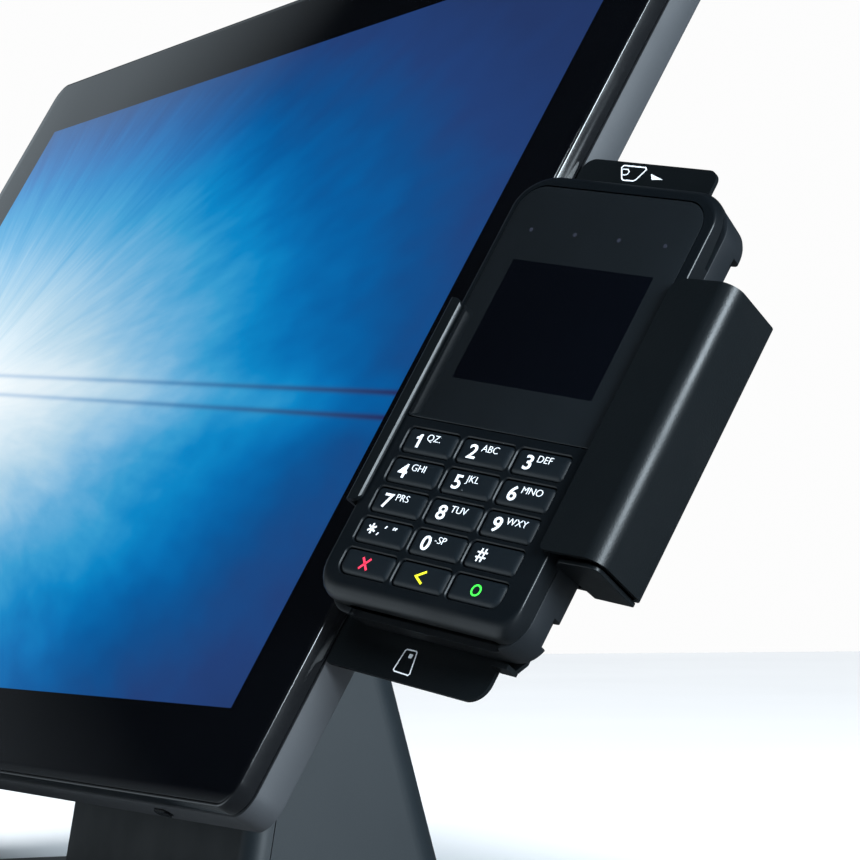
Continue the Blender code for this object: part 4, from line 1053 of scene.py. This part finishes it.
def star_sign():
    arms = []
    for k in range(3):
        a = math.radians(90 + 60 * k)
        arm = Matrix.Translation((DIGIT_U - 0.4, 0.7, 0)) @ Matrix.Rotation(a, 4, "Z")
        corners = [arm @ Vector((x, y, 0))
                   for x, y in ((-1.75, -0.3), (1.75, -0.3), (1.75, 0.3), (-1.75, 0.3))]
        arms.append(flat([(p.x, p.y) for p in corners]))
    for x, y in ((-1.9, -0.2), (0.3, 2.4), (3.6, 2.4), (4.5, 2.4)):
        arms.append(flat([(x, y), (x - 0.35, y - 0.9), (x + 0.1, y - 0.9), (x + 0.5, y)]))
    return merged(arms)


def flat(outline):
    bm = bmesh.new()
    bm.faces.new([bm.verts.new((x, y, 0)) for x, y in outline])
    return bm


def thick_line(points, width):
    """Flat ribbon along an open path."""
    bm = ribbon(points, width, 0.0, 1.0, closed=False)
    faces = [f for f in bm.faces if all(p.co.z < 0.5 for p in f.verts)]
    outline = [(p.co.x, p.co.y) for p in faces[0].verts]
    bm.free()
    return flat(outline)


def circle_sign():
    bm = bmesh.new()
    steps = 32
    for k in range(steps):
        corners = [(r, 2 * math.pi * (k + j) / steps)
                   for r, j in ((1.35, 0), (1.95, 0), (1.95, 1), (1.35, 1))]
        bm.faces.new([bm.verts.new((r * math.cos(a), r * math.sin(a), 0)) for r, a in corners])
    bmesh.ops.remove_doubles(bm, verts=bm.verts, dist=1e-4)
    return bm


def legend(label, letters):
    """Flat sign for one key and its colour."""
    if label == "star":
        return star_sign(), "white"
    if label == "hash":
        bars = [thick_line([(DIGIT_U + x - 0.3, -2.1), (DIGIT_U + x + 0.3, 2.3)], 0.5) for x in (-0.7, 0.85)]
        bars += [thick_line([(DIGIT_U - 1.9, y), (DIGIT_U + 2.1, y)], 0.5) for y in (-0.7, 0.95)]
        return merged(bars), "white"
    if label == "cancel":
        strokes = [thick_line([(-1.7 * s - 0.6, -1.9), (1.7 * s - 0.6, 1.9)], 0.72) for s in (-1, 1)]
        return merged(strokes), "red"
    if label == "clear":
        return thick_line([(1.4, 2.0), (-1.9, 0.0), (1.4, -2.0)], 0.72), "yellow"
    if label == "enter":
        return circle_sign(), "green"
    if label == "1":
        digit = flat([(DIGIT_U + x, y) for x, y in ONE])
    else:
        digit = text_mesh(label, 4.6, DIGIT_U, -2.3, 0.016, 1.15, centred=True)
    return merged([digit, text_mesh(letters, 2.3, LETTER_U, 0.5, -0.012, 1.08)]), "white"


def keys():
    for row, v in enumerate(KEY_V):
        for column_index, u in enumerate(KEY_U):
            label, letters = KEYS[row][column_index]
            node = f"key_{label}"
            cap = key_cap(u, v, key_radii(row, column_index))
            piece(f"cap_{label}", cap, MATS["key"], node, TERMINAL, node, smooth=50)
            sign, color = legend(label, letters)
            piece(f"legend_{label}", raised(sign, u, v), MATS[color], node, TERMINAL)
            if label == "5":
                place = Matrix.Translation((u - 1.6, v - 2.4, KEY_TOP - 0.1))
                dome = [(0.01, -0.2), (0.55, -0.2), (0.5, 0.1), (0.32, 0.28), (0.01, 0.35)]
                piece("five_bump", turned(dome, place, 24), MATS["key"], node, TERMINAL)


# CAD nodes that stay -------------------------------------------------------------------------

KEPT = {
    "base_pad": "rubber", "base_plate": "steel", "column_spine": "steel", "lcd_panel": "panel",
    "mainboard": "board", "heat_sink": "aluminium", "speaker_left": "module", "speaker_right": "module",
    "hinge_bracket": "steel", "lcd_module": "module", "contactless_antenna": "board", "keypad_mat": "rubber",
    "terminal_board": "board", "chip_card_reader": "module", "swipe_reader_head": "module",
}


def kept_nodes():
    for name, finish in KEPT.items():
        node = frame["nodes"][name]
        node.data.materials.clear()
        node.data.materials.append(MATS[finish][0])


# Floor, light and camera ---------------------------------------------------------------------

def floor():
    bm = bmesh.new()
    bmesh.ops.create_grid(bm, x_segments=2, y_segments=2, size=4000)
    obj = mesh_object("floor", bm, Matrix.Translation((0, 0, 0)))
    net = Net("floor_paper")
    net.put("Base Color", net.mix(net.noise(3.0, 3.0), rgb(240, 241, 243), rgb(246, 247, 249)))
    net.put("Roughness", 0.9)
    net.put("Specular IOR Level", 0.1)
    obj.data.materials.append(net.mat)
    obj.visible_glossy = False


COOL = (0.86, 1.0, 1.1)          # tint of the room and the lamps
ROOM_LIGHT = 0.14
ROOM_TOP = (0.26, 0.37)          # heights between which the room fades to a dark ceiling
PANELS = (                       # lit panels: direction, cosines at their rim and core, light
    ((-0.53, -0.79, -0.31), (0.75, 0.95), 1.2),
    ((-0.94, 0.15, 0.29), (0.94, 0.985), 0.3),
)


def world():
    """A dim room with a dark ceiling and two lit panels for the black gloss; the camera sees it pale."""
    tree = bpy.data.worlds.new("studio")
    tree.use_nodes = True
    bpy.context.scene.world = tree
    nodes, links = tree.node_tree.nodes, tree.node_tree.links

    def calc(operation, *values):
        made = nodes.new("ShaderNodeMath")
        made.operation = operation
        for value, target in zip(values, made.inputs):
            if isinstance(value, float):
                target.default_value = value
            else:
                links.new(value, target)
        return made.outputs[0]

    def fade(source, start, stop, low, high):
        made = nodes.new("ShaderNodeMapRange")
        links.new(source, made.inputs["Value"])
        for name, value in (("From Min", start), ("From Max", stop), ("To Min", low), ("To Max", high)):
            made.inputs[name].default_value = value
        return made.outputs[0]

    split = nodes.new("ShaderNodeSeparateXYZ")
    links.new(nodes.new("ShaderNodeTexCoord").outputs["Generated"], split.inputs[0])
    x, y, z = split.outputs
    value = fade(z, *ROOM_TOP, ROOM_LIGHT, 0.03 * ROOM_LIGHT)
    for direction, (rim, core), light in PANELS:
        parts = [calc("MULTIPLY", axis, amount) for axis, amount in zip((x, y, z), direction)]
        facing = calc("ADD", calc("ADD", parts[0], parts[1]), parts[2])
        value = calc("ADD", value, fade(facing, rim, core, 0.0, light))
    seen = nodes.new("ShaderNodeLightPath").outputs["Is Camera Ray"]
    tint = nodes.new("ShaderNodeCombineColor")
    for factor, target in zip(COOL, tint.inputs):
        links.new(calc("MAXIMUM", calc("MULTIPLY", value, factor), calc("MULTIPLY", seen, 0.98)), target)
    links.new(tint.outputs[0], nodes["Background"].inputs["Color"])


def softbox(name, direction, distance, size, power, aim):
    light = bpy.data.lights.new(name, "AREA")
    light.shape = "RECTANGLE"
    light.size, light.size_y = size
    light.energy = power
    light.color = COOL
    obj = bpy.data.objects.new(name, light)
    bpy.context.scene.collection.objects.link(obj)
    obj.location = aim + Vector(direction).normalized() * distance
    obj.rotation_euler = (aim - obj.location).to_track_quat("-Z", "Y").to_euler()


CAMERA_OFFSET = (802.2, -477.5, -76.9)        # from the terminal's display centre, millimetres
CAMERA_TURN = (92.823, -0.252, 61.458)
FOCAL = 130.06


def camera():
    target = TERMINAL.translation
    data = bpy.data.cameras.new("camera")
    data.lens, data.sensor_width = FOCAL, 36.0
    data.clip_start, data.clip_end = 0.05, 50.0
    obj = bpy.data.objects.new("camera", data)
    bpy.context.scene.collection.objects.link(obj)
    obj.location = target + Vector(CAMERA_OFFSET) * MM
    obj.rotation_euler = [math.radians(a) for a in CAMERA_TURN]
    bpy.context.scene.camera = obj


def sun(direction, strength, spread):
    light = bpy.data.lights.new("sun", "SUN")
    light.energy = strength
    light.color = (0.97, 1.0, 1.02)
    light.angle = math.radians(spread)
    obj = bpy.data.objects.new("sun", light)
    bpy.context.scene.collection.objects.link(obj)
    obj.rotation_euler = Vector(direction).to_track_quat("Z", "Y").to_euler()
    obj.visible_glossy = False


SUN = ((0.35, -0.45, 0.82), 3.7, 28.0)        # direction, strength, spread in degrees
SOFTBOXES = (                                 # name, direction, distance, size, power
    ("key_light", (0.95, 0.12, 0.28), 1.7, (0.75, 0.75), 100),
    ("trim_light", (0.857, 0.51, 0.082), 1.7, (0.12, 0.5), 1.2),
)


def studio():
    floor()
    world()
    aim = TERMINAL.translation
    sun(*SUN)
    for values in SOFTBOXES:
        softbox(*values, aim)
    bpy.context.scene.view_settings.view_transform = "Standard"


# Build ---------------------------------------------------------------------------------------

camera()
base()
column()
hinge()
display_front()
rear_shell()
display_button()
screws()
cradle_plate()
wrap_end_tab()
cradle_arm()
pictograms()
front_housing()
rear_housing()
lens()
keys()
kept_nodes()
studio()

bpy.context.view_layer.update()
